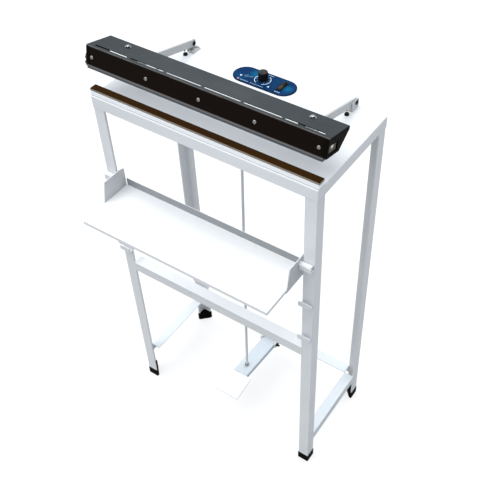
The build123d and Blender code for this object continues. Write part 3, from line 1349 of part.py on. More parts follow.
def control_box():
    """The folded box under the table: open top, two flanges, and four pressed-in pillars for the board."""
    w = BOX_HALF_WIDTH
    t = BOX_SHEET
    body = block(-w, w, BOX_FRONT, BOX_REAR, BOX_BOTTOM, TABLE_UNDER)
    body = fillet(body.edges().filter_by(Axis.Z), BOX_CORNER)
    body -= block(-w + t, w - t, BOX_FRONT + t, BOX_REAR - t, BOX_BOTTOM + t, TABLE_UNDER + 1)
    for side in (-1, 1):
        low, high = sorted((side * w, side * (w + BOX_FLANGE)))
        front = BOX_FRONT + BOX_FLANGE_INSET
        rear = BOX_REAR - BOX_FLANGE_INSET
        flange = block(low, high, front, rear, TABLE_UNDER - t, TABLE_UNDER)
        for y in BOX_SCREW_Y:
            x = side * BOX_SCREW_X
            flange -= pin_z(x, y, TABLE_UNDER - 3, TABLE_UNDER + 1, BASE_SCREW_RADIUS)
        body += flange
    body -= block(*inlet_opening(), BOX_REAR - 3, BOX_REAR + 1, INLET_LOW, INLET_LOW + INLET_HEIGHT)
    for x, y in board_corners():
        body += pin_z(x, y, BOX_BOTTOM, BOARD_LOW, 2 * BOARD_PIN_RADIUS)
        body += pin_z(x, y, BOARD_LOW, BOARD_LOW + BOARD_PIN_HEIGHT, BOARD_PIN_RADIUS)
    return body


def inlet_opening():
    return (INLET_X - INLET_WIDTH / 2, INLET_X + INLET_WIDTH / 2)


def power_inlet():
    """The recessed mains inlet in the rear of the box."""
    x0, x1 = inlet_opening()
    high = INLET_LOW + INLET_HEIGHT
    floor = BOX_REAR - INLET_DEPTH + INLET_FLOOR
    rim = INLET_FRAME
    body = block(x0, x1, BOX_REAR - INLET_DEPTH, BOX_REAR, INLET_LOW, high)
    body += block(x0 - rim, x1 + rim, BOX_REAR, BOX_REAR + rim, INLET_LOW - rim, high + rim)
    body -= block(x0 + rim, x1 - rim, floor, BOX_REAR + rim + 1, INLET_LOW + rim, high - rim)
    low = INLET_LOW + INLET_BLADE_LOW
    high = INLET_LOW + INLET_BLADE_HIGH
    for step in (-1, 0, 1):
        x = INLET_X + step * INLET_BLADE_PITCH
        half = INLET_BLADE_HALF
        body += block(x - half, x + half, floor - INLET_BLADE_ROOT, BOX_REAR - INLET_FLOOR, low, high)
    return body


def transformer_core():
    """The laminated core, a block with two windows for the coil."""
    x0, x1 = TRANSFORMER_X
    y0, y1 = TRANSFORMER_Y
    low = BOX_BOTTOM + BOX_SHEET
    body = block(x0, x1, y0, y1, low, low + TRANSFORMER_HEIGHT)
    limb = (x1 - x0) / 4
    high = low + TRANSFORMER_HEIGHT
    for x in (x0 + limb / 2, x1 - limb * 1.5):
        body -= block(x, x + limb, y0 - 1, y1 + 1, low + limb / 2, high - limb / 2)
    return body


def transformer_coil():
    """The wound coil on the middle limb of the core."""
    x0, x1 = TRANSFORMER_X
    y0, y1 = TRANSFORMER_Y
    limb = (x1 - x0) / 4
    low = BOX_BOTTOM + BOX_SHEET + limb / 2
    high = BOX_BOTTOM + BOX_SHEET + TRANSFORMER_HEIGHT - limb / 2
    body = block(x0 + limb / 2, x1 - limb / 2, y0 - COIL_BULGE, y1 + COIL_BULGE, low, high)
    body = fillet(body.edges().filter_by(Axis.Z), COIL_CORNER)
    return body - transformer_core()


def timer_board():
    """The timing circuit board with its relay and capacitor."""
    x0, x1 = BOARD_X
    y0, y1 = BOARD_Y
    low = BOARD_LOW
    face = low + BOARD_THICKNESS
    body = block(x0, x1, y0, y1, low, face)
    for x, y in board_corners():
        body -= pin_z(x, y, low - 1, face + 1, BOARD_PIN_RADIUS)
    x = x0 + RELAY_PLACE[0]
    y = y0 + RELAY_PLACE[1]
    length, width, height = RELAY_SIZE
    relay = block(x, x + length, y, y + width, face, face + height)
    x = x0 + CAPACITOR_PLACE[0]
    y = y0 + CAPACITOR_PLACE[1]
    capacitor = pin_z(x, y, face, face + CAPACITOR_HEIGHT, CAPACITOR_RADIUS)
    return body + relay + capacitor


def board_corners():
    x0, x1 = BOARD_X
    y0, y1 = BOARD_Y
    inset = BOARD_PIN_INSET
    return [(x, y) for x in (x0 + inset, x1 - inset) for y in (y0 + inset, y1 - inset)]


def heater_leads():
    """Two leads that run under the table from the terminals to the control box."""
    z = TABLE_UNDER - LEAD_DROP
    start = (TERMINAL_X - 4.0, BAR_MIDDLE, z)
    path = Spline(
        start,
        (TERMINAL_X - 40.0, BAR_MIDDLE + 12.0, z - LEAD_SAG),
        (BOX_HALF_WIDTH + 60.0, 30.0, z - LEAD_SAG),
        (BOX_HALF_WIDTH + LEAD_END_GAP, 52.0, z - 2 * LEAD_SAG),
    )
    section = Plane(path @ 0, z_dir=path % 0) * Circle(LEAD_RADIUS)
    return mirrored(sweep(section, path=path))


# ---------------------------------------------------------------- all nodes
NODES = {
    "table_top": table_top,
    "front_legs": lambda: legs(-1),
    "rear_legs": lambda: legs(1),
    "foot_caps": foot_caps,
    "front_crossbar": front_crossbar,
    "rear_rail": rear_rail,
    "side_rails": side_rails,
    "hook_brackets": hook_brackets,
    "tray_pan": tray_pan,
    "tray_ends": tray_ends,
    "tray_stiffeners": tray_stiffeners,
    "lower_bar": lower_bar,
    "insulation_strip": insulation_strip,
    "heating_element": heating_element,
    "release_tape": release_tape,
    "element_terminals": element_terminals,
    "terminal_sleeves": terminal_sleeves,
    "jaw_cover": jaw_cover,
    "end_caps": end_caps,
    "pressure_bar": pressure_bar,
    "pressure_rubber": pressure_rubber,
    "end_blocks": end_blocks,
    "end_screw": end_screw,
    "cover_screws_front": cover_screws_front,
    "cover_screws_top": cover_screws_top,
    "jaw_brackets": jaw_brackets,
    "jaw_bracket_bolts": jaw_bracket_bolts,
    "arm_left": lambda: arm(-1),
    "arm_right": lambda: arm(1),
    "stop_screws": stop_screws,
    "hinge_brackets": hinge_brackets,
    "hinge_pins": hinge_pins,
    "table_screws": table_screws,
    "arm_bumpers": arm_bumpers,
    "rod_bushes": rod_bushes,
    "tie_rods": tie_rods,
    "tie_pins": tie_pins,
    "yoke_bar": yoke_bar,
    "pull_rod": pull_rod,
    "rod_nuts": rod_nuts,
    "return_springs": return_springs,
    "start_switch": start_switch,
    "start_switch_plunger": start_switch_plunger,
    "start_switch_bracket": start_switch_bracket,
    "pedal_arm": pedal_arm,
    "foot_plate": foot_plate,
    "pedal_brackets": pedal_brackets,
    "pedal_bolt": pedal_bolt,
    "control_plate": control_plate,
    "timer_body": timer_body,
    "timer_knob": timer_knob,
    "switch_housing": switch_housing,
    "rocker": rocker,
    "signal_lamp": signal_lamp,
    "control_box": control_box,
    "power_inlet": power_inlet,
    "transformer_core": transformer_core,
    "transformer_coil": transformer_coil,
    "timer_board": timer_board,
    "heater_leads": heater_leads,
}

os.makedirs("parts", exist_ok=True)
place = Pos(0, ORIGIN_FRONT, 0)
for name, make in NODES.items():
    export_step(place * make(), f"parts/{name}.step")
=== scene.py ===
import json
import math

import bmesh
import bpy
from mathutils import Euler, Matrix, Vector


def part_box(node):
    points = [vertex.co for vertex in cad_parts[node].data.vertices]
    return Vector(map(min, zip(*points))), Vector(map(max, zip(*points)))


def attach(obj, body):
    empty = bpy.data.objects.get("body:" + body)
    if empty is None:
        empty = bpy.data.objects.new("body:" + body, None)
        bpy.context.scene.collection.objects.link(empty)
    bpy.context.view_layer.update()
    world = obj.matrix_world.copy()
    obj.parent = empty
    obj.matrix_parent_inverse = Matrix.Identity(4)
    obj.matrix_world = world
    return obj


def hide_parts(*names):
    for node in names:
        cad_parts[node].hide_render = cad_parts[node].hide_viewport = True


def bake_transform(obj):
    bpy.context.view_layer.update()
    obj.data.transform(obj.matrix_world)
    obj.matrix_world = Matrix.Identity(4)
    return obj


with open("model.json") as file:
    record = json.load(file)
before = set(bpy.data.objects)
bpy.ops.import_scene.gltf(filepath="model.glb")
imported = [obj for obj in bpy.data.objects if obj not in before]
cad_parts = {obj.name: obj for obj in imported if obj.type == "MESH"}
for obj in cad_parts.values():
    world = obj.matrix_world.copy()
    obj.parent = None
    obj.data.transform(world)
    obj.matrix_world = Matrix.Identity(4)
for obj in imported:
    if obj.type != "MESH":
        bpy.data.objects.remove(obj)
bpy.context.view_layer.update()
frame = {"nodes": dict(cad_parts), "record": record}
NODES = frame["nodes"]
MM = 0.001


# ---------------------------------------------------------------- shader helpers
class Shader:
    """A node material with short calls for the nodes it uses."""

    def __init__(self, name):
        self.mat = bpy.data.materials.new(name)
        self.mat.use_nodes = True
        self.tree = self.mat.node_tree
        self.bsdf = self.tree.nodes["Principled BSDF"]
        self.coord = self.tree.nodes.new("ShaderNodeTexCoord").outputs["Object"]

    def node(self, kind, **settings):
        made = self.tree.nodes.new(kind)
        for key, value in settings.items():
            setattr(made, key, value)
        return made

    def link(self, source, target):
        if isinstance(source, (int, float)):
            target.default_value = source
        elif isinstance(source, (tuple, list)):
            target.default_value = (*source, 1.0) if len(target.default_value) == 4 else source
        else:
            self.tree.links.new(source, target)

    def set(self, **inputs):
        for key, value in inputs.items():
            self.link(value, self.bsdf.inputs[key.replace("_", " ")])

    def stretch(self, scale, vector=None):
        made = self.node("ShaderNodeMapping")
        self.link(vector or self.coord, made.inputs["Vector"])
        made.inputs["Scale"].default_value = scale
        return made.outputs["Vector"]

    def noise(self, scale, detail=3.0, rough=0.5, vector=None):
        made = self.node("ShaderNodeTexNoise")
        self.link(vector or self.coord, made.inputs["Vector"])
        self.link(scale, made.inputs["Scale"])
        self.link(detail, made.inputs["Detail"])
        self.link(rough, made.inputs["Roughness"])
        return made.outputs["Fac"]

    def ramp(self, value, low, high, out_low=0.0, out_high=1.0):
        made = self.node("ShaderNodeMapRange", clamp=True)
        self.link(value, made.inputs["Value"])
        for key, number in zip(("From Min", "From Max", "To Min", "To Max"), (low, high, out_low, out_high)):
            self.link(number, made.inputs[key])
        return made.outputs["Result"]

    def math(self, op, a, b=0.0):
        made = self.node("ShaderNodeMath", operation=op)
        self.link(a, made.inputs[0])
        self.link(b, made.inputs[1])
        return made.outputs[0]

    def mix(self, factor, a, b, blend="MIX"):
        made = self.node("ShaderNodeMix", data_type="RGBA", blend_type=blend)
        self.link(factor, made.inputs["Factor"])
        self.link(a, made.inputs[6])
        self.link(b, made.inputs[7])
        return made.outputs[2]

    def bevel(self, radius):
        """The surface normal with its edges rounded off."""
        made = self.node("ShaderNodeBevel", samples=6)
        made.inputs["Radius"].default_value = radius
        return made.outputs["Normal"]

    def edge(self, radius):
        """1 close to an outer or inner edge, 0 on open faces."""
        flat = self.node("ShaderNodeNewGeometry").outputs["Normal"]
        dot = self.node("ShaderNodeVectorMath", operation="DOT_PRODUCT")
        self.link(self.bevel(radius), dot.inputs[0])
        self.link(flat, dot.inputs[1])
        return self.ramp(dot.outputs["Value"], 0.995, 0.86)

    def bump(self, height, strength, distance, radius=0.0):
        made = self.node("ShaderNodeBump")
        if radius:
            self.link(self.bevel(radius), made.inputs["Normal"])
        self.link(height, made.inputs["Height"])
        made.inputs["Strength"].default_value = strength
        made.inputs["Distance"].default_value = distance
        self.link(made.outputs["Normal"], self.bsdf.inputs["Normal"])
        return made.outputs["Normal"]

    def axis(self, source, name):
        made = self.node("ShaderNodeSeparateXYZ")
        self.link(source, made.inputs[0])
        return made.outputs[name]

    def facing(self, name):
        """One component of the surface's own normal, before any bump."""
        made = self.node("ShaderNodeTexCoord")
        return self.axis(made.outputs["Normal"], name)


def painted(name, colour, shade, rough=0.38, grain=900.0, depth=0.00003, worn=(0.62, 0.64, 0.66), top=None):
    """Powder coat: fine orange peel, a faint change of tone and gloss, dull specks, wear on the edges, and,
    where top is given, painted light that makes the faces that look up lighter.
    """
    s = Shader(name)
    tone = s.ramp(s.noise(7.0, 4.0), 0.35, 0.65)
    fleck = s.ramp(s.noise(420.0, 2.0), 0.68, 0.74)
    base = s.mix(tone, colour, shade)
    base = s.mix(s.math("MULTIPLY", fleck, 0.25), base, tuple(c * 0.8 for c in shade))
    # Painted light: the faces that look up take the lighter top colour.
    if top:
        base = s.mix(s.ramp(s.facing("Z"), 0.75, 0.97), base, top)
    rub = s.math("MULTIPLY", s.edge(0.0008), s.ramp(s.noise(55.0, 4.0, 0.7), 0.45, 0.62, 0.0, 0.55))
    base = s.mix(rub, base, worn)
    gloss = s.ramp(s.noise(30.0, 5.0, 0.6), 0.3, 0.7, rough - 0.06, rough + 0.08)
    s.set(Base_Color=base, Roughness=gloss, Specular_IOR_Level=0.45)
    s.bump(s.noise(grain, 3.0, 0.6), 0.5, depth, 0.0006)
    return s


def metal(name, colour, rough, along=(1, 1, 1), streak=0.12, metallic=1.0, grain=900.0):
    """Metal with a drawn or turned grain along the small component of the stretch."""
    s = Shader(name)
    lines = s.noise(grain, 3.0, 0.6, s.stretch(along))
    tone = s.ramp(lines, 0.3, 0.7)
    dull = s.ramp(s.noise(60.0, 4.0, 0.6), 0.4, 0.75)
    base = s.mix(s.math("MULTIPLY", tone, streak), colour, tuple(c * 0.55 for c in colour))
    base = s.mix(s.math("MULTIPLY", dull, 0.18), base, tuple(c * 0.6 for c in colour))
    gloss = s.ramp(lines, 0.25, 0.75, rough - 0.05, rough + 0.1)
    s.set(Base_Color=base, Roughness=gloss, Metallic=metallic)
    s.bump(lines, 0.35, 0.00002, 0.0003)
    return s


def moulded(name, colour, rough, grain=1500.0, depth=0.00002, spec=0.5):
    """Moulded plastic or rubber with a spark-eroded texture."""
    s = Shader(name)
    tone = s.ramp(s.noise(45.0, 4.0, 0.6), 0.35, 0.7)
    base = s.mix(s.math("MULTIPLY", tone, 0.5), colour, tuple(c * 1.6 + 0.002 for c in colour))
    gloss = s.ramp(s.noise(120.0, 3.0), 0.3, 0.7, rough - 0.07, rough + 0.07)
    s.set(Base_Color=base, Roughness=gloss, Specular_IOR_Level=spec)
    s.bump(s.noise(grain, 2.0, 0.55), 0.5, depth, 0.0004)
    return s


def slate_coat():
    """The jaw's coat, one paint shown lit and shaded: a slate grey top as painted light, darker towards its
    ends, a painted highlight along the front fold, and a near-black brown front as painted shade.
    """
    slate = (0.044, 0.050, 0.053)
    shade = (0.032, 0.038, 0.042)
    s = painted("slate_coat", slate, shade, 0.50, 1100.0, worn=(0.16, 0.15, 0.14))
    grey = s.bsdf.inputs["Base Color"].links[0].from_socket
    y = s.facing("Y")
    ends = s.ramp(s.math("ABSOLUTE", s.axis(s.coord, "X")), 0.06, 0.24, 0.0, 0.75)
    grey = s.mix(ends, grey, (0.026, 0.031, 0.034))
    # Painted highlight along the fold between the top and the front.
    bend_highlight = s.math("MULTIPLY", s.ramp(y, -0.88, -0.62), s.ramp(y, -0.40, -0.10, 1.0, 0.0))
    bend_highlight = s.math("MULTIPLY", bend_highlight, s.ramp(s.noise(26.0, 4.0, 0.7), 0.25, 0.6, 0.45, 1.0))
    # Painted light and shade: slate grey on the top, near-black brown on the front.
    top = s.ramp(y, -0.35, 0.1)
    base = s.mix(top, (0.0060, 0.0032, 0.0018), grey)
    base = s.mix(bend_highlight, base, (0.118, 0.116, 0.117))
    s.set(Base_Color=base, Specular_IOR_Level=s.ramp(y, -0.6, 0.1, 0.05, 0.16))
    return s


def tape_cloth():
    """Coated glass cloth: a plain weave of half a millimetre under a brown glaze."""
    s = Shader("release_tape")
    pitch = 2 * math.pi / 0.0009
    x = s.axis(s.coord, "X")
    y = s.axis(s.coord, "Y")
    warp = s.math("SINE", s.math("MULTIPLY", x, pitch))
    weft = s.math("SINE", s.math("MULTIPLY", y, pitch))
    weave = s.math("MULTIPLY", warp, weft)
    tone = s.ramp(s.noise(18.0, 5.0, 0.65, s.stretch((0.25, 1.0, 1.0))), 0.3, 0.7)
    base = s.mix(tone, (0.029, 0.0100, 0.0012), (0.043, 0.0165, 0.0022))
    base = s.mix(s.ramp(weave, 0.2, 1.0, 0.0, 0.35), base, (0.014, 0.005, 0.0015))
    s.set(Base_Color=base, Roughness=s.ramp(tone, 0.0, 1.0, 0.42, 0.55), Specular_IOR_Level=0.03)
    s.bump(weave, 0.6, 0.00006)
    return s


def blue_plate():
    """The printed plate: deep blue with softer teal clouds and a dark rim."""
    s = Shader("panel_blue")
    box = [Vector(c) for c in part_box("control_plate")]
    mid = (box[0] + box[1]) / 2
    cloud = s.noise(38.0, 2.0, 0.4)
    base = s.mix(s.ramp(cloud, 0.42, 0.62), (0.001, 0.027, 0.092), (0.001, 0.040, 0.125))
    for dx, dy, size in ((-0.026, 0.010, 0.016), (0.054, 0.0, 0.013)):
        spot = s.node("ShaderNodeVectorMath", operation="DISTANCE")
        s.link(s.coord, spot.inputs[0])
        spot.inputs[1].default_value = (mid.x + dx, mid.y + dy, box[1].z)
        near = s.ramp(spot.outputs["Value"], size * 0.25, size, 1.0, 0.0)
        base = s.mix(near, base, (0.001, 0.090, 0.200))
    half = (box[1].x - box[0].x) / 2
    radius = (box[1].y - box[0].y) / 2
    straight = half - radius
    x = s.math("ABSOLUTE", s.math("SUBTRACT", s.axis(s.coord, "X"), mid.x))
    x = s.math("MAXIMUM", s.math("SUBTRACT", x, straight), 0.0)
    y = s.math("SUBTRACT", s.axis(s.coord, "Y"), mid.y)
    reach = s.math("SQRT", s.math("ADD", s.math("MULTIPLY", x, x), s.math("MULTIPLY", y, y)))
    base = s.mix(s.ramp(reach, radius - 0.0032, radius - 0.0018), base, (0.002, 0.012, 0.045))
    gloss = s.ramp(s.noise(90.0, 3.0), 0.3, 0.7, 0.30, 0.40)
    s.set(Base_Color=base, Roughness=gloss, Specular_IOR_Level=0.04)
    s.bump(s.noise(1400.0, 2.0), 0.3, 0.00001)
    return s


def lamp_lens():
    """The lamp's lens: pink moulded plastic with a faint glow."""
    s = moulded("lamp_red", (0.36, 0.17, 0.19), 0.28)
    s.set(Emission_Color=(1.0, 0.35, 0.40), Emission_Strength=0.03, Coat_Weight=0.2)
    return s


def circuit_board():
    """Solder mask with a grid of tracks and pads."""
    s = Shader("board_green")
    checks = s.node("ShaderNodeTexBrick")
    s.link(s.coord, checks.inputs["Vector"])
    checks.inputs["Scale"].default_value = 260.0
    checks.inputs["Color1"].default_value = (0.012, 0.11, 0.04, 1)
    checks.inputs["Color2"].default_value = (0.016, 0.15, 0.055, 1)
    checks.inputs["Mortar"].default_value = (0.05, 0.24, 0.10, 1)
    checks.inputs["Mortar Size"].default_value = 0.04
    s.set(Base_Color=checks.outputs["Color"], Roughness=s.ramp(s.noise(200.0), 0.3, 0.7, 0.3, 0.45))
    s.bump(checks.outputs["Fac"], 0.4, 0.00004)
    return s


def winding():
    """Taped coil: overlapping turns of amber tape."""
    s = Shader("coil_copper")
    band = s.math("SINE", s.math("MULTIPLY", s.axis(s.coord, "Z"), 2 * math.pi / 0.0032))
    tone = s.ramp(band, -0.2, 1.0)
    base = s.mix(tone, (0.42, 0.18, 0.035), (0.30, 0.11, 0.02))
    s.set(Base_Color=base, Roughness=s.ramp(s.noise(300.0), 0.3, 0.7, 0.28, 0.42))
    s.bump(band, 0.5, 0.0002)
    return s


def rocker_plastic():
    """Smoked amber at the front of the rocker; towards its rear, painted shade makes it black."""
    s = moulded("rocker_brown", (0.042, 0.025, 0.017), 0.34)
    amber = s.bsdf.inputs["Base Color"].links[0].from_socket
    low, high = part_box("rocker")
    middle = (low[1] + high[1]) / 2
    # Painted shade: the rear half of the rocker turns black.
    rear = s.ramp(s.axis(s.coord, "Y"), middle - 0.001, middle + 0.003)
    s.set(Base_Color=s.mix(rear, amber, (0.002, 0.002, 0.003)), Specular_IOR_Level=0.2)
    return s


WHITE = (0.735, 0.75, 0.765)
WHITE_WORN = (0.55, 0.57, 0.59)
RAIL_WORN = (0.52, 0.54, 0.56)
WHITE_SHADE = (0.70, 0.715, 0.735)
# The white painted on faces that look up, as painted light.
PAINTED_TOP_LIGHT = (0.90, 0.91, 0.92)
# The darker white painted where shade falls.
PAINTED_SHADE = (0.27, 0.285, 0.30)
MATERIALS = {
    "white_coat": painted("white_coat", WHITE, WHITE_SHADE, 0.42, worn=WHITE_WORN, top=PAINTED_TOP_LIGHT),
    "slate_coat": slate_coat(),
    "arm_coat": painted("arm_coat", (0.47, 0.48, 0.48), (0.42, 0.43, 0.43), 0.36, worn=(0.30, 0.30, 0.30)),
    "cap_plastic": moulded("cap_plastic", (0.0034, 0.0024, 0.0012), 0.42, spec=0.03),
    "black_plastic": moulded("black_plastic", (0.0055, 0.0048, 0.0042), 0.42, spec=0.16),
    "rocker_brown": rocker_plastic(),
    "plunger_red": moulded("plunger_red", (0.40, 0.02, 0.015), 0.30),
    "nylon": moulded("nylon", (0.66, 0.65, 0.60), 0.42),
    "tan_strip": metal("tan_strip", (0.27, 0.24, 0.19), 0.55, (0.15, 1.0, 1.0), 0.5, 0.0),
    "release_tape": tape_cloth(),
    "element": metal("element", (0.45, 0.44, 0.40), 0.32, (0.05, 1.0, 1.0)),
    "brass": metal("brass", (0.60, 0.42, 0.15), 0.28),
    "zinc_steel": metal("zinc_steel", (0.40, 0.39, 0.38), 0.25),
    "rod_steel": metal("rod_steel", (0.70, 0.71, 0.72), 0.45, (1.0, 1.0, 0.05), 0.25, 0.25),
    "black_steel": moulded("black_steel", (0.0050, 0.0050, 0.006), 0.36, 700.0, spec=0.2),
    "spring_steel": metal("spring_steel", (0.55, 0.56, 0.57), 0.28),
    # The aluminium's colour is kept well below bare aluminium, as painted shade.
    "aluminium": metal("aluminium", (0.26, 0.255, 0.25), 0.42, (0.04, 1.0, 1.0), 0.35),
    "silicone": moulded("silicone", (0.060, 0.070, 0.080), 0.50),
    "bumper_rubber": moulded("bumper_rubber", (0.0025, 0.0025, 0.003), 0.34, spec=0.12),
    "panel_blue": blue_plate(),
    "lamp_red": lamp_lens(),
    "core_steel": metal("core_steel", (0.17, 0.17, 0.18), 0.45, (0.3, 6.0, 0.3), 0.5, 0.7),
    "coil_copper": winding(),
    "board_green": circuit_board(),
    "lead_red": moulded("lead_red", (0.42, 0.02, 0.015), 0.35),
}


def part_dulled(name, inner):
    """The white coat with painted shade: a darker tone on the faces named by a mask, from 0 to 1, and painted
    light on the faces that look up.
    """
    s = painted(name, WHITE, WHITE_SHADE, 0.42, worn=WHITE_WORN, top=PAINTED_TOP_LIGHT)
    white = s.bsdf.inputs["Base Color"].links[0].from_socket
    s.set(Base_Color=s.mix(inner(s), white, PAINTED_SHADE))
    return s


def lip_mask(s):
    """Painted shade on the inner face of the pan's rear lip."""
    low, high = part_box("tray_pan")
    back = s.ramp(s.axis(s.coord, "Y"), high[1] - 0.012, high[1] - 0.004)
    return s.math("MULTIPLY", s.ramp(s.facing("Y"), -0.9, -0.5, 1.0, 0.0), back)


def inner_mask(s):
    """Painted shade on the inner faces of the rear legs' rear flanges."""
    return s.ramp(s.facing("Y"), -0.95, -0.7, 0.14, 0.0)


def side_mask(s):
    """Painted shade on both faces of the end plates, not their edges."""
    return s.ramp(s.math("ABSOLUTE", s.facing("X")), 0.6, 0.9, 0.0, 0.40)


def bar_coat():
    """The sealing bar's bright coat, with a thin line of painted shade where it stands on the table."""
    s = painted("bar_coat", (0.93, 0.94, 0.95), (0.90, 0.92, 0.94), 0.38, worn=(0.60, 0.62, 0.64))
    white = s.bsdf.inputs["Base Color"].links[0].from_socket
    low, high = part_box("lower_bar")
    # Painted shade: a thin darker line along the bottom of the bar, against the table.
    foot_shadow = s.ramp(s.axis(s.coord, "Z"), low[2] + 0.0009, low[2] + 0.0016, 1.0, 0.0)
    s.set(Base_Color=s.mix(foot_shadow, white, (0.40, 0.44, 0.48)))
    return s


def block_coat():
    """The end blocks: aluminium, darkened to brown-grey by painted shade and a painted reflection of the dark
    cap, with one painted highlight on the right-hand face.
    """
    s = metal("block_metal", (0.125, 0.105, 0.090), 0.45, (1.0, 0.2, 1.0), 0.3, 0.2)
    brown = s.bsdf.inputs["Base Color"].links[0].from_socket
    low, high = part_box("end_blocks")
    # Painted highlight near the top of the right-hand face.
    spot = s.node("ShaderNodeVectorMath", operation="DISTANCE")
    s.link(s.coord, spot.inputs[0])
    spot.inputs[1].default_value = (high[0], (low[1] + high[1]) / 2 + 0.003, high[2] - 0.005)
    painted_glint = s.ramp(spot.outputs["Value"], 0.0035, 0.0055, 1.0, 0.0)
    s.set(Base_Color=s.mix(painted_glint, brown, (0.85, 0.84, 0.82)))
    return s


def knob_coat():
    """Black plastic, made paler on the faces that look up by a painted sheen."""
    s = moulded("knob_plastic", (0.0040, 0.0038, 0.0036), 0.42, spec=0.14)
    black = s.bsdf.inputs["Base Color"].links[0].from_socket
    # Painted sheen on the faces that look up.
    top = s.ramp(s.facing("Z"), 0.90, 0.98)
    s.set(Base_Color=s.mix(top, black, (0.034, 0.033, 0.028)))
    return s


def screw_coat(name):
    """Bright screw heads, with painted shade making their sides nearly black."""
    s = metal(name, (0.80, 0.80, 0.79), 0.22, streak=0.05)
    bright = s.bsdf.inputs["Base Color"].links[0].from_socket
    # Painted shade: the sides of the heads turn nearly black.
    side = s.ramp(s.facing("Z"), 0.55, 0.85, 1.0, 0.0)
    s.set(Base_Color=s.mix(side, bright, (0.012, 0.012, 0.012)))
    return s


OWN_COATS = {
    "timer_knob": knob_coat(),
    "cover_screws_top": screw_coat("top_screw_steel"),
    "table_screws": metal("table_screw_steel", (0.55, 0.55, 0.54), 0.35),
    "end_blocks": block_coat(),
    "lower_bar": bar_coat(),
    "tray_pan": part_dulled("tray_pan_coat", lip_mask),
    "tray_ends": part_dulled("tray_end_coat", side_mask),
    "table_top": painted("table_coat", WHITE, WHITE_SHADE, 0.42, worn=WHITE_WORN),
    "rear_legs": part_dulled("rear_leg_coat", inner_mask),
    # The rails and the pedal arm are in the white coat; these greyer, bluer copies of it are painted shade.
    "rear_rail": painted("rear_rail_coat", (0.72, 0.76, 0.79), (0.69, 0.73, 0.76), 0.42, worn=RAIL_WORN),
    "side_rails": painted("rail_coat", (0.70, 0.74, 0.77), (0.67, 0.71, 0.74), 0.42, worn=RAIL_WORN),
    "pedal_arm": painted("pedal_coat", (0.62, 0.68, 0.72), (0.58, 0.64, 0.69), 0.45, worn=(0.50, 0.52, 0.54)),
}
for entry in frame["record"]["subparts"]:
    piece = NODES[entry["node"]]
    coat = OWN_COATS.get(entry["node"], MATERIALS[entry["material_slot"]])
    piece.data.materials.clear()
    piece.data.materials.append(coat.mat)


# ---------------------------------------------------------------- pieces drawn here
PANEL_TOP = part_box("control_plate")[1][2]
KNOB_LOW, KNOB_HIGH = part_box("timer_knob")
KNOB_X = (KNOB_LOW[0] + KNOB_HIGH[0]) / 2
KNOB_Y = (KNOB_LOW[1] + KNOB_HIGH[1]) / 2
DIAL_MARKS = 9
DIAL_START = -52.0
DIAL_SWEEP = 289.0
TICK_RADIUS = 14.1
DIGIT_RADIUS = 12.2
DIGIT_SIZE = 3.3 * MM
RING = (0.2, -1.7)
RING_RADIUS = 16.4
RING_WIDTH = 1.2
UNEVEN = (2.2, 1.4, 2.8, 1.1, 1.9)


def dial_angle(number):
    """The direction of one of the dial's marks, which run round from the front right."""
    return math.radians(DIAL_START + number * DIAL_SWEEP / (DIAL_MARKS - 1))


def add_mesh(name, build, body, material, smooth=False):
    """A new mesh object made by a function that fills a bmesh, riding on a body."""
    mesh = bpy.data.meshes.new(name)
    made = bmesh.new()
    build(made)
    bmesh.ops.recalc_face_normals(made, faces=made.faces)
    for face in made.faces:
        face.smooth = smooth
    made.to_mesh(mesh)
    made.free()
    obj = bpy.data.objects.new(name, mesh)
    bpy.context.scene.collection.objects.link(obj)
    mesh.materials.append(material)
    if body:
        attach(obj, body)
    return obj


def slab(made, outline, low, high):
    """A thin plate of any flat outline, given as points in metres."""
    lower = [made.verts.new((x, y, low)) for x, y in outline]
    upper = [made.verts.new((x, y, high)) for x, y in outline]
    made.faces.new(lower[::-1])
    made.faces.new(upper)
    count = len(outline)
    for i in range(count):
        j = (i + 1) % count
        made.faces.new((lower[i], lower[j], upper[j], upper[i]))


def bar_outline(x, y, length, width, angle=0.0):
    """A bar about its middle, turned by an angle, in millimetres in and metres out."""
    turn = math.radians(angle)
    corners = ((-1, -1), (1, -1), (1, 1), (-1, 1))
    points = []
    for i, j in corners:
        dx = i * length / 2
        dy = j * width / 2
        points.append((
            (x + dx * math.cos(turn) - dy * math.sin(turn)) * MM,
            (y + dx * math.sin(turn) + dy * math.cos(turn)) * MM,
        ))
    return points


def ring_outline(x, y, radius, width, start, end, steps=72):
    """A band round a centre, from one angle to another, in millimetres in and metres out."""
    outline = []
    for side, order in ((0.5, range(steps + 1)), (-0.5, range(steps, -1, -1))):
        for i in order:
            angle = math.radians(start + (end - start) * i / steps)
            reach = radius + side * width
            outline.append(((x + reach * math.cos(angle)) * MM, (y + reach * math.sin(angle)) * MM))
    return outline


def dashes(made, x0, y0, x1, y1, width, low, high, lengths):
    """A row of short printed bars of unequal length between two points."""
    total = math.hypot(x1 - x0, y1 - y0)
    angle = math.degrees(math.atan2(y1 - y0, x1 - x0))
    along = 0.0
    number = 0
    while along < total:
        length = min(lengths[number % len(lengths)], total - along)
        middle = along + length / 2
        x = x0 + (x1 - x0) * middle / total
        y = y0 + (y1 - y0) * middle / total
        slab(made, bar_outline(x, y, length, width, angle), low, high)
        along += length + 0.7
        number += 1


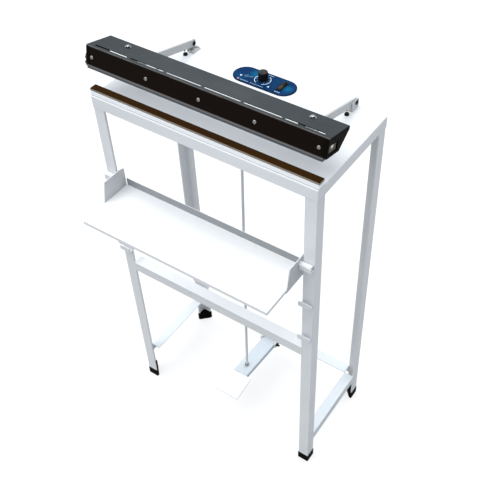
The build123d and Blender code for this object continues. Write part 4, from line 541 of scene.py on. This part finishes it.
def panel_print():
    """The generic printing on the control plate: dial band, digits, arrows, rules."""
    low = PANEL_TOP - 0.02 * MM
    high = PANEL_TOP + 0.06 * MM
    cx = KNOB_X / MM
    cy = KNOB_Y / MM

    def at(x, y):
        return cx + x, cy + y

    def shape(made, *points):
        slab(made, [(px * MM, py * MM) for px, py in (at(*point) for point in points)], low, high)

    def row(made, x0, y0, x1, y1, width, lengths):
        dashes(made, *at(x0, y0), *at(x1, y1), width, low, high, lengths)

    def bright(made):
        for start, end in ((-68, 62), (118, 244)):
            slab(made, ring_outline(*at(*RING), RING_RADIUS, RING_WIDTH, start, end), low, high)
        shape(made, (19.4, -17.6), (24.8, -17.8), (22.2, -13.2))
        shape(made, (-45.8, -13.8), (-42.4, -9.4), (-48.2, -9.2))
        row(made, 39.8, -21.0, 51.8, -21.0, 1.3, UNEVEN)
        row(made, 1.7, 18.6, 13.2, 18.6, 1.2, UNEVEN)

    def pale(made):
        row(made, -39.4, -22.8, -19.8, -22.8, 1.3, (2.6, 3.4, 1.8))
        row(made, -16.3, -23.2, 14.7, -23.2, 1.1, (3.0, 1.6, 2.4, 4.0))
        row(made, -38.4, -8.4, -33.4, -2.4, 1.1, (1.6, 1.1))
        row(made, -35.4, -11.4, -29.4, -4.6, 0.9, (1.2, 2.0))
        slab(made, bar_outline(*at(-24.4, -5.4), 8.0, 0.8, 32.0), low, high)
        for number in range(DIAL_MARKS):
            turn = dial_angle(number)
            spot = at(0.4 + TICK_RADIUS * math.cos(turn), -1.2 + TICK_RADIUS * math.sin(turn))
            slab(made, bar_outline(*spot, 1.2, 0.5, math.degrees(turn)), low, high)

    white = moulded("print_white", (0.66, 0.74, 0.80), 0.45, 2600.0, 0.000004)
    blue = moulded("print_pale", (0.34, 0.52, 0.66), 0.45, 2600.0, 0.000004)
    add_mesh("panel_print_white", bright, "frame", white.mat)
    add_mesh("panel_print_pale", pale, "frame", blue.mat)
    for number in range(DIAL_MARKS):
        digit = DIAL_MARKS - 1 - number
        text = bpy.data.curves.new("digit", "FONT")
        text.body = str(digit)
        text.size = DIGIT_SIZE
        text.align_x = "CENTER"
        text.align_y = "CENTER"
        text.extrude = 0.03 * MM
        holder = bpy.data.objects.new("digit", text)
        mesh = bpy.data.meshes.new_from_object(holder)
        bpy.data.objects.remove(holder)
        turn = dial_angle(number)
        x, y = at(0.4 + DIGIT_RADIUS * math.cos(turn), -0.8 + DIGIT_RADIUS * math.sin(turn))
        mesh.transform(Matrix.Translation((x * MM, y * MM, PANEL_TOP + 0.02 * MM)))
        obj = bpy.data.objects.new("dial_digit_%d" % digit, mesh)
        bpy.context.scene.collection.objects.link(obj)
        mesh.materials.clear()
        mesh.materials.append(blue.mat)
        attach(obj, "frame")


def return_springs():
    """Two extension springs drawn as close-wound wire that stretches between the table and the yoke."""
    low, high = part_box("return_springs")
    wire = 0.6 * MM
    radius = (high[1] - low[1]) / 2 - wire
    middle = (low[1] + high[1]) / 2
    turns = 20
    around = 24
    section = 8

    def build(made):
        for side in (-1, 1):
            centre = side * (high[0] - radius - wire)
            rings = []
            for i in range(turns * around + 1):
                angle = 2 * math.pi * i / around
                z = low[2] + wire + (high[2] - low[2] - 2 * wire) * i / (turns * around)
                out = Vector((math.cos(angle), math.sin(angle), 0.0))
                ring = []
                for k in range(section):
                    a = 2 * math.pi * k / section
                    point = Vector((centre, middle, z)) + out * (radius + wire * math.cos(a))
                    point.z += wire * math.sin(a)
                    ring.append(made.verts.new(point))
                rings.append(ring)
            for a, b in zip(rings, rings[1:]):
                for k in range(section):
                    j = (k + 1) % section
                    made.faces.new((a[k], a[j], b[j], b[k]))
            made.faces.new(rings[0][::-1])
            made.faces.new(rings[-1])

    obj = add_mesh("return_spring_coils", build, None, MATERIALS["spring_steel"].mat, True)
    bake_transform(obj)
    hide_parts("return_springs")


def release_tape():
    """The glass-cloth tape: crowned over the heating strip, its edges pressed down on the insulation."""
    low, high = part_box("release_tape")
    middle = (low[1] + high[1]) / 2
    half = (high[1] - low[1]) / 2
    rows = 14
    columns = 180
    floor_z = low[2]
    rise = high[2] - low[2]

    def crown(v, u):
        """The height of the cloth's face at a place across it (-1 to 1) and along it (0 to 1)."""
        bulge = 0.45 + 0.55 * math.cos(v * math.pi / 2) ** 0.7
        ripple = 0.10 * math.sin(u * 61.0) * math.sin(u * 23.0 + 1.3) * abs(v)
        return floor_z + rise * max(0.16, min(1.0, bulge - ripple))

    def build(made):
        top = []
        under = []
        for i in range(columns + 1):
            u = i / columns
            x = low[0] + (high[0] - low[0]) * u
            row = []
            base = []
            for k in range(rows + 1):
                v = -1 + 2 * k / rows
                y = middle + half * v
                row.append(made.verts.new((x, y, crown(v, u))))
                base.append(made.verts.new((x, y, floor_z + 0.02 * MM)))
            top.append(row)
            under.append(base)
        for i in range(columns):
            for k in range(rows):
                made.faces.new((top[i][k], top[i + 1][k], top[i + 1][k + 1], top[i][k + 1]))
                made.faces.new((under[i][k], under[i][k + 1], under[i + 1][k + 1], under[i + 1][k]))
            for k in (0, rows):
                made.faces.new((top[i][k], under[i][k], under[i + 1][k], top[i + 1][k]))
        for i in (0, columns):
            for k in range(rows):
                made.faces.new((top[i][k], top[i][k + 1], under[i][k + 1], under[i][k]))

    obj = add_mesh("release_tape_cloth", build, "frame", MATERIALS["release_tape"].mat, True)
    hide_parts("release_tape")


panel_print()
return_springs()
release_tape()


# ---------------------------------------------------------------- stage, light and camera
FILL = 0.79
KEY = 2.0
FRONT = 0.42
REAR = 1.5
SEEN_FLOOR = 0.70
BOUNCE = 0.30
FLOOR_HALF = 9.0


def floor():
    """A wide pale sheet. What the camera sees of it is lifted towards white, as on a lit backdrop."""
    s = Shader("floor_paper")
    tone = s.noise(3.0)
    s.set(Base_Color=s.mix(tone, (BOUNCE,) * 3, (BOUNCE * 1.03,) * 3), Roughness=0.9, Specular_IOR_Level=0.1)
    seen = s.node("ShaderNodeBsdfDiffuse")
    seen.inputs["Color"].default_value = (0.93, 0.93, 0.93, 1.0)
    glow = s.node("ShaderNodeEmission")
    lift = s.node("ShaderNodeMixShader")
    lift.inputs[0].default_value = SEEN_FLOOR
    s.link(seen.outputs[0], lift.inputs[1])
    s.link(glow.outputs[0], lift.inputs[2])
    pick = s.node("ShaderNodeMixShader")
    s.link(s.node("ShaderNodeLightPath").outputs["Is Camera Ray"], pick.inputs[0])
    s.link(s.bsdf.outputs[0], pick.inputs[1])
    s.link(lift.outputs[0], pick.inputs[2])
    s.link(pick.outputs[0], s.tree.nodes["Material Output"].inputs["Surface"])
    mesh = bpy.data.meshes.new("floor")
    made = bmesh.new()
    bmesh.ops.create_grid(made, x_segments=8, y_segments=8, size=FLOOR_HALF)
    made.to_mesh(mesh)
    made.free()
    obj = bpy.data.objects.new("floor", mesh)
    bpy.context.scene.collection.objects.link(obj)
    mesh.materials.append(s.mat)


def sun(name, strength, angle, tilt, colour, mirrored=True):
    light = bpy.data.lights.new(name, "SUN")
    light.energy = strength
    light.angle = math.radians(angle)
    light.color = colour
    obj = bpy.data.objects.new(name, light)
    obj.rotation_euler = Euler([math.radians(t) for t in tilt])
    obj.visible_glossy = mirrored
    bpy.context.scene.collection.objects.link(obj)


def camera():
    data = bpy.data.cameras.new("camera")
    obj = bpy.data.objects.new("camera", data)
    obj.location = (0.7406, -0.9266, 1.7831)
    obj.rotation_euler = Euler((math.radians(43.39), 0.0, math.radians(32.67)))
    data.sensor_width = 36.0
    data.lens = 58.75
    data.shift_x = -0.0950
    data.shift_y = 0.0404
    data.clip_start = 0.05
    data.clip_end = 50.0
    bpy.context.scene.collection.objects.link(obj)
    bpy.context.scene.camera = obj


def sky():
    """Soft bluish light from all round, seen as plain white."""
    world = bpy.data.worlds.new("world")
    bpy.context.scene.world = world
    world.use_nodes = True
    tree = world.node_tree
    soft = tree.nodes["Background"]
    soft.inputs["Color"].default_value = (0.88, 0.94, 1.0, 1.0)
    soft.inputs["Strength"].default_value = FILL
    seen = tree.nodes.new("ShaderNodeBackground")
    seen.inputs["Color"].default_value = (1.0, 1.0, 1.0, 1.0)
    path = tree.nodes.new("ShaderNodeLightPath")
    pick = tree.nodes.new("ShaderNodeMixShader")
    tree.links.new(path.outputs["Is Camera Ray"], pick.inputs[0])
    tree.links.new(soft.outputs[0], pick.inputs[1])
    tree.links.new(seen.outputs[0], pick.inputs[2])
    tree.links.new(pick.outputs[0], tree.nodes["World Output"].inputs["Surface"])


floor()
sky()
sun("overhead", KEY, 60.0, (10.0, -14.0, 0.0), (1.0, 0.985, 0.965))
sun("front", FRONT, 50.0, (62.0, 0.0, -22.0), (1.0, 0.99, 0.98))
sun("rear", REAR, 60.0, (-58.0, 0.0, 0.0), (0.93, 0.97, 1.0), mirrored=False)
camera()
bpy.context.scene.view_settings.view_transform = "Standard"
